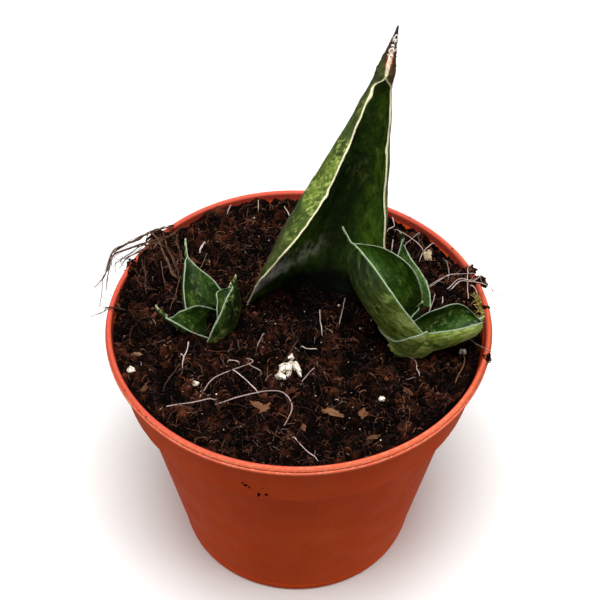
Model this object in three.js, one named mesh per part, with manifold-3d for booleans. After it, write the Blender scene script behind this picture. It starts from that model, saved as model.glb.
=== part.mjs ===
// A young snake plant in a plastic nursery pot: one tall rolled leaf and two small pups.
// Millimetres, +Z up. The origin is the middle of the pot's foot, on the surface it stands on.
// The front, which the tall leaf's channel opens to, faces -Y.

import * as THREE from 'three';
import { mergeVertices } from 'three/addons/utils/BufferGeometryUtils.js';
import Module from 'manifold-3d';

const wasm = await Module();
wasm.setup();

// ---------------------------------------------------------------- driving dimensions

const GAP = 0.3; // clearance between neighbouring pieces

// Pot: foot ring, tapering body, shoulder, collar and rolled lip.
const POT = {
  height: 94,
  rimRadius: 60,
  rimWidth: 2, // from the lip's outside to the inner wall
  lipHeight: 3,
  lipRound: 0.6,
  collarHeight: 20.6, // from the rim's top down to the shoulder
  collarTopRadius: 58.2,
  collarFootRadius: 55.6,
  shoulderHeight: 1.4,
  bodyTopRadius: 52.4,
  footRadius: 40,
  footRound: 0.8,
  footRingWidth: 3,
  footRingHeight: 1.6,
  wall: 1.2,
  segments: 60,
};
const DRAIN = { count: 8, radius: 4, circle: 27, sides: 16 };

// Soil: its level, and the heaps and hollows of its surface.
const SOIL = { level: 91.4, rings: 11, segments: 44 };
const SOIL_RIPPLE = { height: 0.45, x: 4.1, y: 3.7, shiftX: 1.3, shiftY: 0.4, slantX: 2.9, slantY: 3.3 };
const SOIL_HEAPS = [
  { x: -47, y: 31, spread: 9, height: 4.2 }, // against the rim, left and back
  { x: 52, y: 17, spread: 7, height: 3.2 }, // against the rim, right
  { x: -31.5, y: -9.5, spread: 4, height: 4 }, // crumbs over the left pup's foot
  { x: -44, y: -22, spread: 12, height: 1.2 },
  { x: 26, y: -36, spread: 13, height: 1.2 },
  { x: 8, y: 16, spread: 10, height: -2.6 }, // hollow in front of the tall leaf
  { x: 36, y: 28, spread: 12, height: -1.6 },
  { x: -8, y: 46, spread: 14, height: -0.8 },
  { x: -34, y: 44, spread: 9, height: 1.3 }, // banked against the rim from here on
  { x: -10, y: 55, spread: 8, height: 0.9 },
  { x: -52, y: 16, spread: 8, height: 0.9 },
  { x: 44, y: 36, spread: 9, height: 1.2 },
  { x: 52, y: 2, spread: 7, height: 0.8 },
];

// Fibres that lie on the soil, as places in plan. Their ends dip into it.
const FIBRE = { radius: 0.55, sides: 5, lift: 0.6, endSunk: 1, steps: 7 };
const SOIL_FIBRES = [
  [[-40.5, -35.6], [-32.1, -34.1], [-24.7, -31.4]],
  [[-23.6, -34.5], [-11.1, -29.1], [-5.5, -29.3], [-1, -34.1], [-3.3, -41.2]],
  [[-15, -18], [-24.4, -23.6], [-27.9, -28.5]],
  [[-1.8, -46], [6.4, -53]],
  [[7, 8], [8.1, -5.5]],
  [[31.3, 46], [36, 41], [41.9, 33.4]],
  [[-44, 4], [-42.5, 16], [-46, 24]],
  [[50.5, -12], [50.5, -19], [47, -26]],
];

// Leaves. foot, bend and tip are the control points of the midrib, on the leaf's outer face.
// faceTurn and faceTilt aim the open side of the channel: a compass angle from +X, and an angle
// above the horizon. curl is how far each half rolls inward, in degrees, at the foot, the middle
// and the tip. half is the widest half-width, measured round the curl, and neck is the foot's
// share of it. widest and awn are places along the leaf, from 0 at the foot to 1 at the tip: its
// widest place, and where its margins meet. From there it is a slim cone, the dried awn, whose
// radius starts at awnRadius. core is the thickness at the midrib, edge at the margins.
const AWN = { tip: 0.35, blend: 0.05, closed: 165, closedSpace: 175, hollow: 0.1 };
const LEAF_THINNING = 0.5; // share of the core's thickness lost from foot to tip
const MAIN_LEAF = {
  foot: [-2.8, 16, 76], bend: [19.1, 32.6, 129.2], tip: [28.2, 26.9, 181.3],
  faceTurn: -87.1, faceTilt: 6.6, twist: -5.3, curl: [40.5, 122.9, 93.5], skew: -0.07,
  half: 30.7, neck: 0.51, widest: 0.37, fullness: 1.24, awn: 0.87, awnRadius: 2.85,
  core: 3.2, edge: 1, wave: 0.35, waves: 7, rows: 26, columns: 12,
};
const PUP_BLADE = { core: 1.8, edge: 0.8, wave: 0.2, waves: 4, rows: 13, columns: 8 };
const RIGHT_PUP = {
  right_pup_leaf_side: {
    foot: [27.5, -8.6, 80], bend: [44.9, -19.9, 101.3], tip: [56.7, -7.1, 100.2],
    faceTurn: 51.6, faceTilt: 80.7, twist: 11.7, curl: [140.2, 135.2, 104.6], skew: 0,
    half: 13.6, neck: 0.51, widest: 0.58, fullness: 3.53, awn: 0.93, awnRadius: 0.6, ...PUP_BLADE,
  },
  right_pup_leaf_outer: {
    foot: [33.4, -8.2, 80], bend: [22.8, -15.2, 113.7], tip: [14.2, 18.8, 113.3],
    faceTurn: 16, faceTilt: 75.4, twist: -6.9, curl: [83.3, 118.5, 114.8], skew: -0.15,
    half: 20.1, neck: 0.31, widest: 0.56, fullness: 1.95, awn: 0.88, awnRadius: 0.8, ...PUP_BLADE,
  },
  right_pup_leaf_back: {
    foot: [39.7, 1.7, 80], bend: [32.5, 9.9, 103.5], tip: [33.1, 29.3, 102.1],
    faceTurn: -78.2, faceTilt: 2.4, twist: 20.8, curl: [47.4, 40, 91.5], skew: -0.16,
    half: 7.7, neck: 0.57, widest: 0.44, fullness: 0.9, awn: 0.91, awnRadius: 0.7, ...PUP_BLADE,
  },
  right_pup_leaf_inner: {
    foot: [35, -4.5, 80], bend: [37.5, -4.5, 92], tip: [38.5, -3.5, 103.2],
    faceTurn: 170, faceTilt: 5, twist: 0, curl: [120, 110, 90], skew: 0,
    half: 6.8, neck: 0.6, widest: 0.35, fullness: 2.6, awn: 0.93, awnRadius: 0.6, ...PUP_BLADE,
  },
};
const LEFT_PUP = {
  left_pup_leaf_right: {
    foot: [-23.1, 0.5, 80], bend: [-16.7, -6.3, 93], tip: [-18.1, -0.4, 111.2],
    faceTurn: 159.1, faceTilt: 9.9, twist: -8.7, curl: [86.1, 41.3, 87.4], skew: 0.05,
    half: 12.5, neck: 0.5, widest: 0.29, fullness: 1.5, awn: 0.95, awnRadius: 0.9, ...PUP_BLADE,
  },
  left_pup_leaf_back: {
    foot: [-25.1, 2.4, 80], bend: [-35.2, 7.2, 96.9], tip: [-35.6, 23.5, 104],
    faceTurn: -54.8, faceTilt: 12.9, twist: -0.8, curl: [91.9, 85.2, 99.7], skew: -0.09,
    half: 11.3, neck: 0.5, widest: 0.34, fullness: 1.61, awn: 0.83, awnRadius: 0.6, ...PUP_BLADE,
  },
  left_pup_leaf_low: {
    foot: [-25.5, 3, 80], bend: [-38.4, -17.2, 103.4], tip: [-43.6, -0.6, 98.4],
    faceTurn: 12.8, faceTilt: 34.5, twist: 23, curl: [102.3, 76.5, 81.5], skew: 0.13,
    half: 9.5, neck: 0.81, widest: 0.18, fullness: 1.49, awn: 0.76, awnRadius: 0.8, ...PUP_BLADE,
  },
  left_pup_leaf_inner: {
    foot: [-26.5, -1.5, 80], bend: [-19.7, 2.1, 93.5], tip: [-20.4, 9.1, 98.6],
    faceTurn: -108.2, faceTilt: -15.7, twist: 0, curl: [110, 95, 80], skew: -0.3,
    half: 5.1, neck: 0.6, widest: 0.6, fullness: 4.75, awn: 0.94, awnRadius: 0.6, ...PUP_BLADE,
  },
};

// Rhizome: the buried stem, the knots that the shoots grow from, and its roots.
const RHIZOME = {
  path: [[-27, -1, 76], [-17, 7, 71.5], [-3, 17, 71], [14, 9, 70.5], [33, -5, 76]],
  radius: 3.6, sides: 8, steps: 10,
  knots: [[-26, 0, 76.5, 5.5], [-3.5, 18, 71.5, 6], [33.5, -5.5, 76.5, 6]], // place, radius
  knotSides: 8, knotRings: 6,
};
// Each root starts under the stem and spreads as it drops: near and far are how much of its
// spread it has after its first drop and halfway down.
const ROOTS = {
  count: 6, radius: 0.9, sides: 5, steps: 4, turn: 2.4, spread: 16, inward: 0.75,
  firstDrop: 9, near: 0.35, far: 0.8, drop: 34, dropStep: 6, dropSteps: 3, lowest: 22,
};

// Loose pockets in the soil round the buried feet of the two shoots.
const POCKET = { radius: 9, sides: 14, low: 76, high: 87.6, places: [[33, -6], [-25, -1]] };

// Root strands that hang over the rim: places in space, and their radii.
const STRAND = { sides: 5, steps: 9 };
const LEFT_STRANDS = [
  { radius: 0.75, at: [[-36, 38.5, 96.6], [-49, 33.6, 97.6], [-56.2, 26.9, 97.4],
    [-60, 21, 96.6], [-62.3, 14.1, 95.4], [-64.6, 10.6, 92.5]] },
  { radius: 0.65, at: [[-57, 26, 97.2], [-60.4, 17, 96.4], [-61.2, 10.5, 95.6], [-62.2, 6, 92.5]] },
  { radius: 0.6, at: [[-61.5, 16.2, 96], [-62.9, 9.5, 92.5], [-62.4, 5.9, 88.5]] },
  { radius: 0.6, at: [[-47, 35, 97.6], [-52, 25, 97.2], [-54.5, 17, 96]] },
];
const RIGHT_STRANDS = [
  { radius: 0.7, at: [[46, 15.4, 94.6], [52.9, 15, 96.2], [58.4, 12.2, 96.2],
    [61.4, 9.4, 95.9], [64, 6.6, 93.8]] },
  { radius: 0.6, at: [[45.5, 19.5, 94.8], [51, 18, 96.4], [57, 13.6, 96.4], [60.2, 11, 96.1]] },
];

// Perlite lumps on the soil: place in plan, half-length along x, half-length along y, height.
const PERLITE = [
  { x: -2.9, y: -20.6, long: 3.9, wide: 3.2, high: 2.4 },
  { x: -1.4, y: -15.3, long: 1.6, wide: 1.4, high: 1.2 },
  { x: -49.5, y: -22.4, long: 1.5, wide: 1.2, high: 1.1 },
  { x: -30.2, y: -26.4, long: 1.4, wide: 1.1, high: 1 },
  { x: 25, y: -33, long: 1.3, wide: 1.2, high: 1 },
  { x: 50.6, y: -13.4, long: 1.5, wide: 1.1, high: 1.1 },
  { x: 43.1, y: 29.6, long: 2.6, wide: 2.2, high: 1.9 },
];
const PERLITE_SUNK = 0.3; // share of its height that a lump sits in the soil
const PERLITE_RELIEF = { height: 0.16, x: 5, y: 4, z: 3 };

// Colours, as seen on the plant.
const TERRACOTTA = 0xc2492e;
const PEAT = 0x2a1a13;
const LEAF_GREEN = 0x2f4d22;
const PUP_GREEN = 0x2f5a25;
const ROOT_BROWN = 0x6b4a35;
const PERLITE_WHITE = 0xe9e6dd;

// ---------------------------------------------------------------- solids and geometries

const MERGE = 1e-4; // corners closer than this are one

// A closed solid from a three.js geometry, with its shared corners merged.
function solid(geometry) {
  const plain = geometry.clone();
  for (const name of Object.keys(plain.attributes)) {
    if (name !== 'position') plain.deleteAttribute(name);
  }
  const merged = mergeVertices(plain, MERGE);
  const corners = [];
  for (let i = 0; i < merged.index.count; i += 3) {
    const [a, b, c] = [0, 1, 2].map((k) => merged.index.getX(i + k));
    if (a !== b && b !== c && c !== a) corners.push(a, b, c);
  }
  return new wasm.Manifold(new wasm.Mesh({
    numProp: 3,
    vertProperties: new Float32Array(merged.attributes.position.array),
    triVerts: new Uint32Array(corners),
  }));
}

function geometryOf(body) {
  const mesh = body.getMesh();
  const geometry = new THREE.BufferGeometry();
  geometry.setAttribute('position', new THREE.BufferAttribute(new Float32Array(mesh.vertProperties), 3));
  geometry.setIndex(new THREE.BufferAttribute(new Uint32Array(mesh.triVerts), 1));
  geometry.computeVertexNormals();
  return geometry;
}

const united = (bodies) => bodies.reduce((whole, body) => whole.add(body));
const cutBy = (body, cutters) => cutters.reduce((rest, cutter) => rest.subtract(cutter), body);
const largest = (body) => body.decompose().reduce((a, b) => (a.volume() > b.volume() ? a : b));

// A tube along a smooth curve through the points.
function tube(points, radius, sides, steps) {
  const section = new THREE.Shape();
  for (let i = 0; i < sides; i++) {
    const angle = (i / sides) * 2 * Math.PI;
    section[i ? 'lineTo' : 'moveTo'](radius * Math.cos(angle), radius * Math.sin(angle));
  }
  section.closePath();
  const path = new THREE.CatmullRomCurve3(points.map((p) => new THREE.Vector3(...p)));
  return solid(new THREE.ExtrudeGeometry(section, { steps, bevelEnabled: false, extrudePath: path }));
}

// ---------------------------------------------------------------- pot

// Radius of the pot's inner wall at a height.
function innerRadius(z) {
  const collarFoot = POT.height - POT.collarHeight;
  const bodyTop = collarFoot - POT.shoulderHeight;
  const lerp = THREE.MathUtils.lerp;
  if (z > collarFoot) {
    const up = (z - collarFoot) / POT.collarHeight;
    return lerp(POT.collarFootRadius - POT.wall, POT.rimRadius - POT.rimWidth, up);
  }
  const waist = POT.bodyTopRadius - POT.wall;
  if (z > bodyTop) {
    return lerp(waist, POT.collarFootRadius - POT.wall, (z - bodyTop) / POT.shoulderHeight);
  }
  return lerp(POT.footRadius - POT.wall, waist, z / bodyTop);
}

const FLOOR_TOP = POT.footRingHeight + POT.wall;

function makePot() {
  const rim = POT.rimRadius;
  const top = POT.height;
  const collarFoot = top - POT.collarHeight;
  const bodyTop = collarFoot - POT.shoulderHeight;
  const ringInside = POT.footRadius - POT.footRound - POT.footRingWidth;
  const profile = [
    [0, POT.footRingHeight],
    [ringInside - POT.footRingHeight / 2, POT.footRingHeight],
    [ringInside, 0],
    [POT.footRadius - POT.footRound, 0],
    [POT.footRadius, POT.footRound],
    [POT.bodyTopRadius, bodyTop],
    [POT.collarFootRadius - POT.lipRound, bodyTop + POT.lipRound / 2],
    [POT.collarFootRadius, collarFoot],
    [POT.collarTopRadius, top - POT.lipHeight - POT.lipRound],
    [rim - POT.lipRound, top - POT.lipHeight],
    [rim, top - POT.lipHeight + POT.lipRound],
    [rim, top - POT.lipRound],
    [rim - POT.lipRound, top],
    [rim - POT.rimWidth + POT.lipRound / 2, top],
    [innerRadius(top - POT.lipRound), top - POT.lipRound],
    [innerRadius(collarFoot), collarFoot],
    [innerRadius(bodyTop), bodyTop],
    [innerRadius(FLOOR_TOP), FLOOR_TOP],
    [0, FLOOR_TOP],
  ].map(([r, z]) => new THREE.Vector2(r, z));
  const shell = solid(new THREE.LatheGeometry(profile, POT.segments).rotateX(Math.PI / 2));
  const holes = [];
  for (let i = 0; i < DRAIN.count; i++) {
    const angle = ((i + 0.5) / DRAIN.count) * 2 * Math.PI;
    const hole = new THREE.CylinderGeometry(DRAIN.radius, DRAIN.radius, 2 * FLOOR_TOP, DRAIN.sides);
    hole.rotateX(Math.PI / 2);
    hole.translate(DRAIN.circle * Math.cos(angle), DRAIN.circle * Math.sin(angle), FLOOR_TOP);
    holes.push(solid(hole));
  }
  return cutBy(shell, holes);
}

// ---------------------------------------------------------------- leaves

const direction = (turn, tilt) => {
  const [a, e] = [turn, tilt].map(THREE.MathUtils.degToRad);
  return new THREE.Vector3(Math.cos(e) * Math.cos(a), Math.cos(e) * Math.sin(a), Math.sin(e));
};

// Half-width of the blade alone, and radius of the cone that it closes into.
function leafWidths(leaf, t) {
  const rise = leaf.neck + (1 - leaf.neck) * Math.sin((Math.min(t / leaf.widest, 1) * Math.PI) / 2);
  const past = THREE.MathUtils.clamp((t - leaf.widest) / (leaf.awn - leaf.widest), 0, 1);
  const left = THREE.MathUtils.clamp((1 - t) / (1 - leaf.awn), 0, 1);
  return {
    blade: leaf.half * (t < leaf.widest ? rise : 1 - past ** leaf.fullness),
    cone: THREE.MathUtils.lerp(AWN.tip, leaf.awnRadius, left),
  };
}

// Curl of each half in degrees: a parabola through its three values.
function leafCurl(leaf, t) {
  const [foot, middle, tip] = leaf.curl;
  return foot * (1 - t) * (1 - 2 * t) + middle * 4 * t * (1 - t) + tip * t * (2 * t - 1);
}

// A leaf as a closed body: an inner and an outer face on one grid, joined at the margins and ends.
// A leaf that is grown is the space that the leaf takes up with that much room round it.
function makeLeaf(leaf, grow = 0) {
  const { lerp, degToRad, smoothstep } = THREE.MathUtils;
  const [foot, bend, tip] = [leaf.foot, leaf.bend, leaf.tip].map((p) => new THREE.Vector3(...p));
  const spine = new THREE.QuadraticBezierCurve3(foot, bend, tip);
  const faces = { inner: [], outer: [] };
  for (let i = 0; i <= leaf.rows; i++) {
    const t = i / leaf.rows;
    const along = spine.getTangent(t);
    const centre = spine.getPoint(t);
    if (i === 0) centre.addScaledVector(along, -grow);
    if (i === leaf.rows) centre.addScaledVector(along, grow);
    const face = direction(leaf.faceTurn, leaf.faceTilt);
    face.addScaledVector(along, -face.dot(along)).normalize();
    face.applyAxisAngle(along, degToRad(leaf.twist) * t);
    const side = new THREE.Vector3().crossVectors(along, face);
    const shut = smoothstep(t, leaf.awn - AWN.blend, leaf.awn);
    const curl = degToRad(lerp(leafCurl(leaf, t), AWN.closed, shut));
    const widths = leafWidths(leaf, t);
    const ripple = leaf.wave * Math.sin(2 * Math.PI * leaf.waves * t) * (1 - shut);
    const round = (Math.hypot(widths.blade, widths.cone * curl) + ripple) / curl;
    const room = Math.min(grow / round, Math.max(degToRad(AWN.closedSpace) - curl, 0));
    const core = leaf.core * (1 - LEAF_THINNING * t);
    for (let j = 0; j <= leaf.columns; j++) {
      const s = (2 * j) / leaf.columns - 1;
      const angle = s * ((1 + leaf.skew * Math.sign(s) * (1 - shut)) * curl + room);
      const thick = leaf.edge + (core - leaf.edge) * (1 - s * s);
      const pith = AWN.hollow * round;
      const within = Math.max(lerp(round - thick, pith, shut) - grow, pith);
      for (const [name, radius] of [['inner', within], ['outer', round + grow]]) {
        faces[name].push(centre.clone()
          .addScaledVector(side, radius * Math.sin(angle))
          .addScaledVector(face, round - radius * Math.cos(angle)));
      }
    }
  }
  return closedGrid(faces.outer, faces.inner, leaf.rows, leaf.columns);
}

// Joins two grids of points, split into triangles alike, into one closed body.
function closedGrid(lower, upper, rows, columns) {
  const points = [...lower, ...upper];
  const at = (layer, i, j) => layer * lower.length + i * (columns + 1) + j;
  const corners = [];
  const quad = (a, b, c, d) => corners.push(a, b, c, a, c, d);
  for (let i = 0; i < rows; i++) {
    for (let j = 0; j < columns; j++) {
      quad(at(1, i, j), at(1, i, j + 1), at(1, i + 1, j + 1), at(1, i + 1, j));
      const [a, b, c, d] = [at(0, i, j), at(0, i, j + 1), at(0, i + 1, j + 1), at(0, i + 1, j)];
      corners.push(a, c, b, a, d, c);
    }
    quad(at(0, i, 0), at(1, i, 0), at(1, i + 1, 0), at(0, i + 1, 0));
    quad(at(0, i + 1, columns), at(1, i + 1, columns), at(1, i, columns), at(0, i, columns));
  }
  for (let j = 0; j < columns; j++) {
    quad(at(0, 0, j), at(0, 0, j + 1), at(1, 0, j + 1), at(1, 0, j));
    quad(at(1, rows, j), at(1, rows, j + 1), at(0, rows, j + 1), at(0, rows, j));
  }
  const geometry = new THREE.BufferGeometry();
  geometry.setFromPoints(points);
  geometry.setIndex(corners);
  const body = solid(geometry);
  if (body.volume() > 0) return body;
  geometry.index.array.reverse();
  return solid(geometry);
}

// The leaves of one shoot, each cut clear of those already placed.
function makeShoot(leaves, obstacles) {
  const placed = {};
  const taken = [...obstacles];
  for (const [name, leaf] of Object.entries(leaves)) {
    placed[name] = largest(cutBy(makeLeaf(leaf), taken));
    taken.push(makeLeaf(leaf, GAP));
  }
  return placed;
}

// ---------------------------------------------------------------- rhizome and strands

function makeRhizome(grow = 0) {
  const stem = tube(RHIZOME.path, RHIZOME.radius + grow, RHIZOME.sides, RHIZOME.steps);
  const knots = RHIZOME.knots.map(([x, y, z, r]) => (
    solid(new THREE.SphereGeometry(r + grow, RHIZOME.knotSides, RHIZOME.knotRings)
      .rotateX(Math.PI / 2).translate(x, y, z))));
  const path = new THREE.CatmullRomCurve3(RHIZOME.path.map((p) => new THREE.Vector3(...p)));
  const roots = [];
  for (let i = 0; i < ROOTS.count; i++) {
    const start = path.getPoint((i + 0.5) / ROOTS.count);
    const angle = i * ROOTS.turn;
    const dx = start.x * (ROOTS.inward - 1) + Math.cos(angle) * ROOTS.spread;
    const dy = start.y * (ROOTS.inward - 1) + Math.sin(angle) * ROOTS.spread;
    const drop = ROOTS.drop + ROOTS.dropStep * (i % ROOTS.dropSteps);
    const low = Math.max(start.z - drop, ROOTS.lowest);
    roots.push(tube([
      start.toArray(),
      [start.x + ROOTS.near * dx, start.y + ROOTS.near * dy, start.z - ROOTS.firstDrop],
      [start.x + ROOTS.far * dx, start.y + ROOTS.far * dy, (start.z + low) / 2],
      [start.x + dx, start.y + dy, low - grow],
    ], ROOTS.radius + grow, ROOTS.sides, ROOTS.steps));
  }
  return united([stem, ...knots, ...roots]);
}

const strands = (list, grow = 0) => united(
  list.map(({ radius, at }) => tube(at, radius + grow, STRAND.sides, STRAND.steps)));

// ---------------------------------------------------------------- soil and perlite

function soilHeight(x, y) {
  let z = SOIL.level;
  for (const heap of SOIL_HEAPS) {
    const away = Math.hypot(x - heap.x, y - heap.y) / heap.spread;
    z += heap.height * Math.exp(-away * away);
  }
  const ripple = SOIL_RIPPLE;
  const straight = Math.sin(x / ripple.x + ripple.shiftX) * Math.cos(y / ripple.y + ripple.shiftY);
  return z + ripple.height * (straight + Math.sin(x / ripple.slantX - y / ripple.slantY));
}

function makePocket([x, y]) {
  const tall = POCKET.high - POCKET.low;
  const pocket = new THREE.CylinderGeometry(POCKET.radius, POCKET.radius, tall, POCKET.sides);
  return solid(pocket.rotateX(Math.PI / 2).translate(x, y, POCKET.low + tall / 2));
}

function makeSoil() {
  const bodyTop = POT.height - POT.collarHeight - POT.shoulderHeight;
  const shoulder = POT.height - POT.collarHeight;
  const edge = innerRadius(SOIL.level) - GAP;
  const low = FLOOR_TOP + GAP;
  const profile = [
    [0, low],
    [innerRadius(low) - GAP, low],
    [innerRadius(bodyTop) - GAP, bodyTop + GAP / 2],
    [innerRadius(shoulder) - GAP, shoulder + GAP / 2],
  ].map(([r, z]) => new THREE.Vector2(r, z));
  for (let i = 0; i <= SOIL.rings; i++) {
    profile.push(new THREE.Vector2(edge * (1 - i / SOIL.rings), SOIL.level));
  }
  const body = new THREE.LatheGeometry(profile, SOIL.segments).rotateX(Math.PI / 2);
  const place = body.attributes.position;
  for (let i = 0; i < place.count; i++) {
    if (place.getZ(i) > SOIL.level - GAP) place.setZ(i, soilHeight(place.getX(i), place.getY(i)));
  }
  const fibres = SOIL_FIBRES.map((plan) => tube(
    plan.map(([x, y], i) => {
      const end = i === 0 || i === plan.length - 1;
      return [x, y, soilHeight(x, y) + (end ? -FIBRE.endSunk : FIBRE.lift)];
    }),
    FIBRE.radius, FIBRE.sides, FIBRE.steps));
  return united([solid(body), ...fibres]);
}

function makePerlite({ x, y, long, wide, high }, seed, grow = 0) {
  const lump = new THREE.IcosahedronGeometry(1, 1);
  const place = lump.attributes.position;
  const point = new THREE.Vector3();
  for (let i = 0; i < place.count; i++) {
    point.fromBufferAttribute(place, i);
    const { height, x: fx, y: fy, z: fz } = PERLITE_RELIEF;
    const wobble = Math.sin(fx * point.x + seed) + Math.sin(fy * point.y + 2 * seed) * Math.cos(fz * point.z);
    point.multiplyScalar(1 + height * wobble);
    place.setXYZ(i, point.x * (long + grow), point.y * (wide + grow), point.z * (high + grow));
  }
  lump.translate(x, y, soilHeight(x, y) + high * (1 - 2 * PERLITE_SUNK));
  return solid(lump);
}

// ---------------------------------------------------------------- the object

const plastic = { color: TERRACOTTA, roughness: 0.45, metalness: 0 };
const peat = { color: PEAT, roughness: 1, metalness: 0 };
const tallGreen = { color: LEAF_GREEN, roughness: 0.4, metalness: 0 };
const pupGreen = { color: PUP_GREEN, roughness: 0.4, metalness: 0 };
const rootBrown = { color: ROOT_BROWN, roughness: 0.9, metalness: 0 };
const white = { color: PERLITE_WHITE, roughness: 0.9, metalness: 0 };

const plant = new THREE.Group();

function addPart(name, body, look) {
  const part = new THREE.Mesh(geometryOf(body), new THREE.MeshStandardMaterial(look));
  part.name = name;
  plant.add(part);
}

const rhizome = makeRhizome();
const rhizomeSpace = makeRhizome(GAP);
const mainLeaf = cutBy(makeLeaf(MAIN_LEAF), [rhizomeSpace]);
const mainSpace = makeLeaf(MAIN_LEAF, GAP);
const rightPup = makeShoot(RIGHT_PUP, [rhizomeSpace, mainSpace]);
const leftPup = makeShoot(LEFT_PUP, [rhizomeSpace]);
const leafSpaces = [mainSpace];
for (const leaf of [...Object.values(RIGHT_PUP), ...Object.values(LEFT_PUP)]) {
  leafSpaces.push(makeLeaf(leaf, GAP));
}
const lumps = PERLITE.map((lump, i) => makePerlite(lump, i));
const lumpSpaces = PERLITE.map((lump, i) => makePerlite(lump, i, GAP));
const strandSpaces = [strands(LEFT_STRANDS, GAP), strands(RIGHT_STRANDS, GAP)];
const pockets = POCKET.places.map(makePocket);
const spaces = [rhizomeSpace, ...pockets, ...leafSpaces, ...lumpSpaces, ...strandSpaces];

addPart('pot', makePot(), plastic);
addPart('soil', largest(cutBy(makeSoil(), [united(spaces)])), peat);
addPart('rhizome', rhizome, rootBrown);
addPart('main_leaf', largest(mainLeaf), tallGreen);
for (const [name, body] of Object.entries({ ...rightPup, ...leftPup })) addPart(name, body, pupGreen);
addPart('roots_over_rim_left', strands(LEFT_STRANDS), rootBrown);
addPart('roots_over_rim_right', strands(RIGHT_STRANDS), rootBrown);
lumps.forEach((lump, i) => addPart(`perlite_${i + 1}`, lump, white));

export default plant;
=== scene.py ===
"""The looks of a young snake plant in its plastic nursery pot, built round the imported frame.

Millimetres here are turned into metres where a mesh, a light or the camera is made.
The pot stands on z = 0 and its front faces -Y. Leaves, soil, roots and pot are finer
pieces that keep the form of the CAD nodes they stand for.
"""

import math
import random
from types import SimpleNamespace as Sizes

import bmesh
import bpy
import numpy as np
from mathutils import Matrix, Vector, noise
from mathutils.kdtree import KDTree


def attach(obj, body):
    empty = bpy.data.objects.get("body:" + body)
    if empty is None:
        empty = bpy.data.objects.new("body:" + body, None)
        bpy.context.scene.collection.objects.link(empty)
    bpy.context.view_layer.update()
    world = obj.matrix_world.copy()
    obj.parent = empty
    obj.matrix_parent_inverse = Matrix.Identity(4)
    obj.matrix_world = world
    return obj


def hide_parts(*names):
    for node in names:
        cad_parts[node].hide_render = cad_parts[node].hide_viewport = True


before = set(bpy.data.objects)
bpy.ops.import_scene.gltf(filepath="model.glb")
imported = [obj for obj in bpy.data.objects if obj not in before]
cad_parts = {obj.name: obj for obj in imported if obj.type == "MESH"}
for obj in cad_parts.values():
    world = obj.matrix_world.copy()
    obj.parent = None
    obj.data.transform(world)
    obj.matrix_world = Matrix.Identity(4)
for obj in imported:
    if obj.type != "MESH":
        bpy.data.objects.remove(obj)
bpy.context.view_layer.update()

NOISE_SEED = 4
# Vector noise takes its offsets from the clock where no seed is set.
noise.seed_set(NOISE_SEED)

MM = 0.001

# ---------------------------------------- sizes, in millimetres

CAMERA = Sizes(place=(1.03, -277.8, 381.8), down=45.37, lens=77.26, sensor=36.0)
# Area lights: place, width and power.
LIGHTS = {
    "overhead": ((10, -110, 880), 480, 10.7),
    "right_fill": ((700, -230, 330), 500, 1.35),
    "left_fill": ((-700, -160, 330), 500, 1.3),
}
LIGHT_TARGET = (0, 0, 95)
WORLD_STRENGTH = 0.22
FLOOR_REACH = 6000

# bulge: share of the radius, then its middle and reach in radians.
POT = Sizes(
    height=94, rim=60, rim_width=2, lip=3, groove=1.6, collar=20.6, collar_top=58.2, collar_foot=55.6,
    shoulder=1.4, body_top=52.4, foot=40, foot_ring=1.6, wall=1.2, segments=256, lean=(0.65, -0.3),
    bulge=(0.017, 2.0, 0.45))
COLLAR_FOOT = POT.height - POT.collar
BODY_TOP = COLLAR_FOOT - POT.shoulder
FLOOR_TOP = POT.foot_ring + POT.wall
DRAIN = Sizes(count=8, radius=4, circle=27, sides=32)

# scatter: how far out loose crumbs lie. gap: the soil's clearance from the pot's wall.
SOIL = Sizes(level=91.4, edge=57.6, scatter=56.3, cells=230, foot=3.1, gap=0.3)
SOIL_RIPPLE = Sizes(height=0.45, x=4.1, y=3.7, shift_x=1.3, shift_y=0.4, slant_x=2.9, slant_y=3.3)
# x, y, spread, height
SOIL_HEAPS = [
    (-47, 31, 9, 4.2), (52, 17, 7, 3.2), (-31.5, -9.5, 4, 4), (-44, -22, 12, 1.2),
    (26, -36, 13, 1.2), (8, 16, 10, -2.6), (36, 28, 12, -1.6), (-8, 46, 14, -0.8),
    (-34, 44, 9, 1.3), (-10, 55, 8, 0.9), (-52, 16, 8, 0.9), (44, 36, 9, 1.2), (52, 2, 7, 0.8),
]
# The same for the fine surface alone: a pit in the left pup's lowest leaf, a clod over its margin
# and a low bank at the back.
SOIL_BANKS = [(-28.5, -1.5, 3.2, -5), (-30.6, -10.6, 2.2, 2.8), (-28, 48, 6, 1.6)]
# A painted shadow before the tall leaf, where the soil's tints are darkened: x, y and spread.
SOIL_PAINTED_SHADOW = (6, 9, 10)
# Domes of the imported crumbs: spacing and height of each size.
SOIL_CRUMBLE = [(5.2, 2.2), (2.3, 1.9), (1.1, 0.8)]

# What is stored at each point of a leaf: its place across and along it, the face it is on (0 is
# the outer one), its distance in from the margin, whether it is dried, and the distance to the tip.
LEAF_VALUES = ("across", "along", "inner", "margin", "dried", "ahead")
AWN = Sizes(tip=0.3, blend=0.05, closed=177, hollow=0.1, taper=1.3)
LEAF_THINNING = 0.5
BEAD_TURNS = np.linspace(0, math.pi, 9)[1:-1]
MAIN_LEAF = Sizes(
    foot=(-2.8, 16, 76), bend=(19.1, 32.6, 129.2), tip=(28.2, 26.9, 181.3), turn=-87.1, tilt=6.6,
    twist=-5.3, curl=(40.5, 122.9, 93.5), skew=-0.07, half=30.7, neck=0.51, widest=0.37, fullness=1.24,
    awn=0.87, awn_radius=2.85, green_awn=0, dry_lag=0.018, core=3.2, edge=0.45, wave=0.35, waves=7,
    bead=0.5, relief=0.28, rows=230, columns=72)
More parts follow.
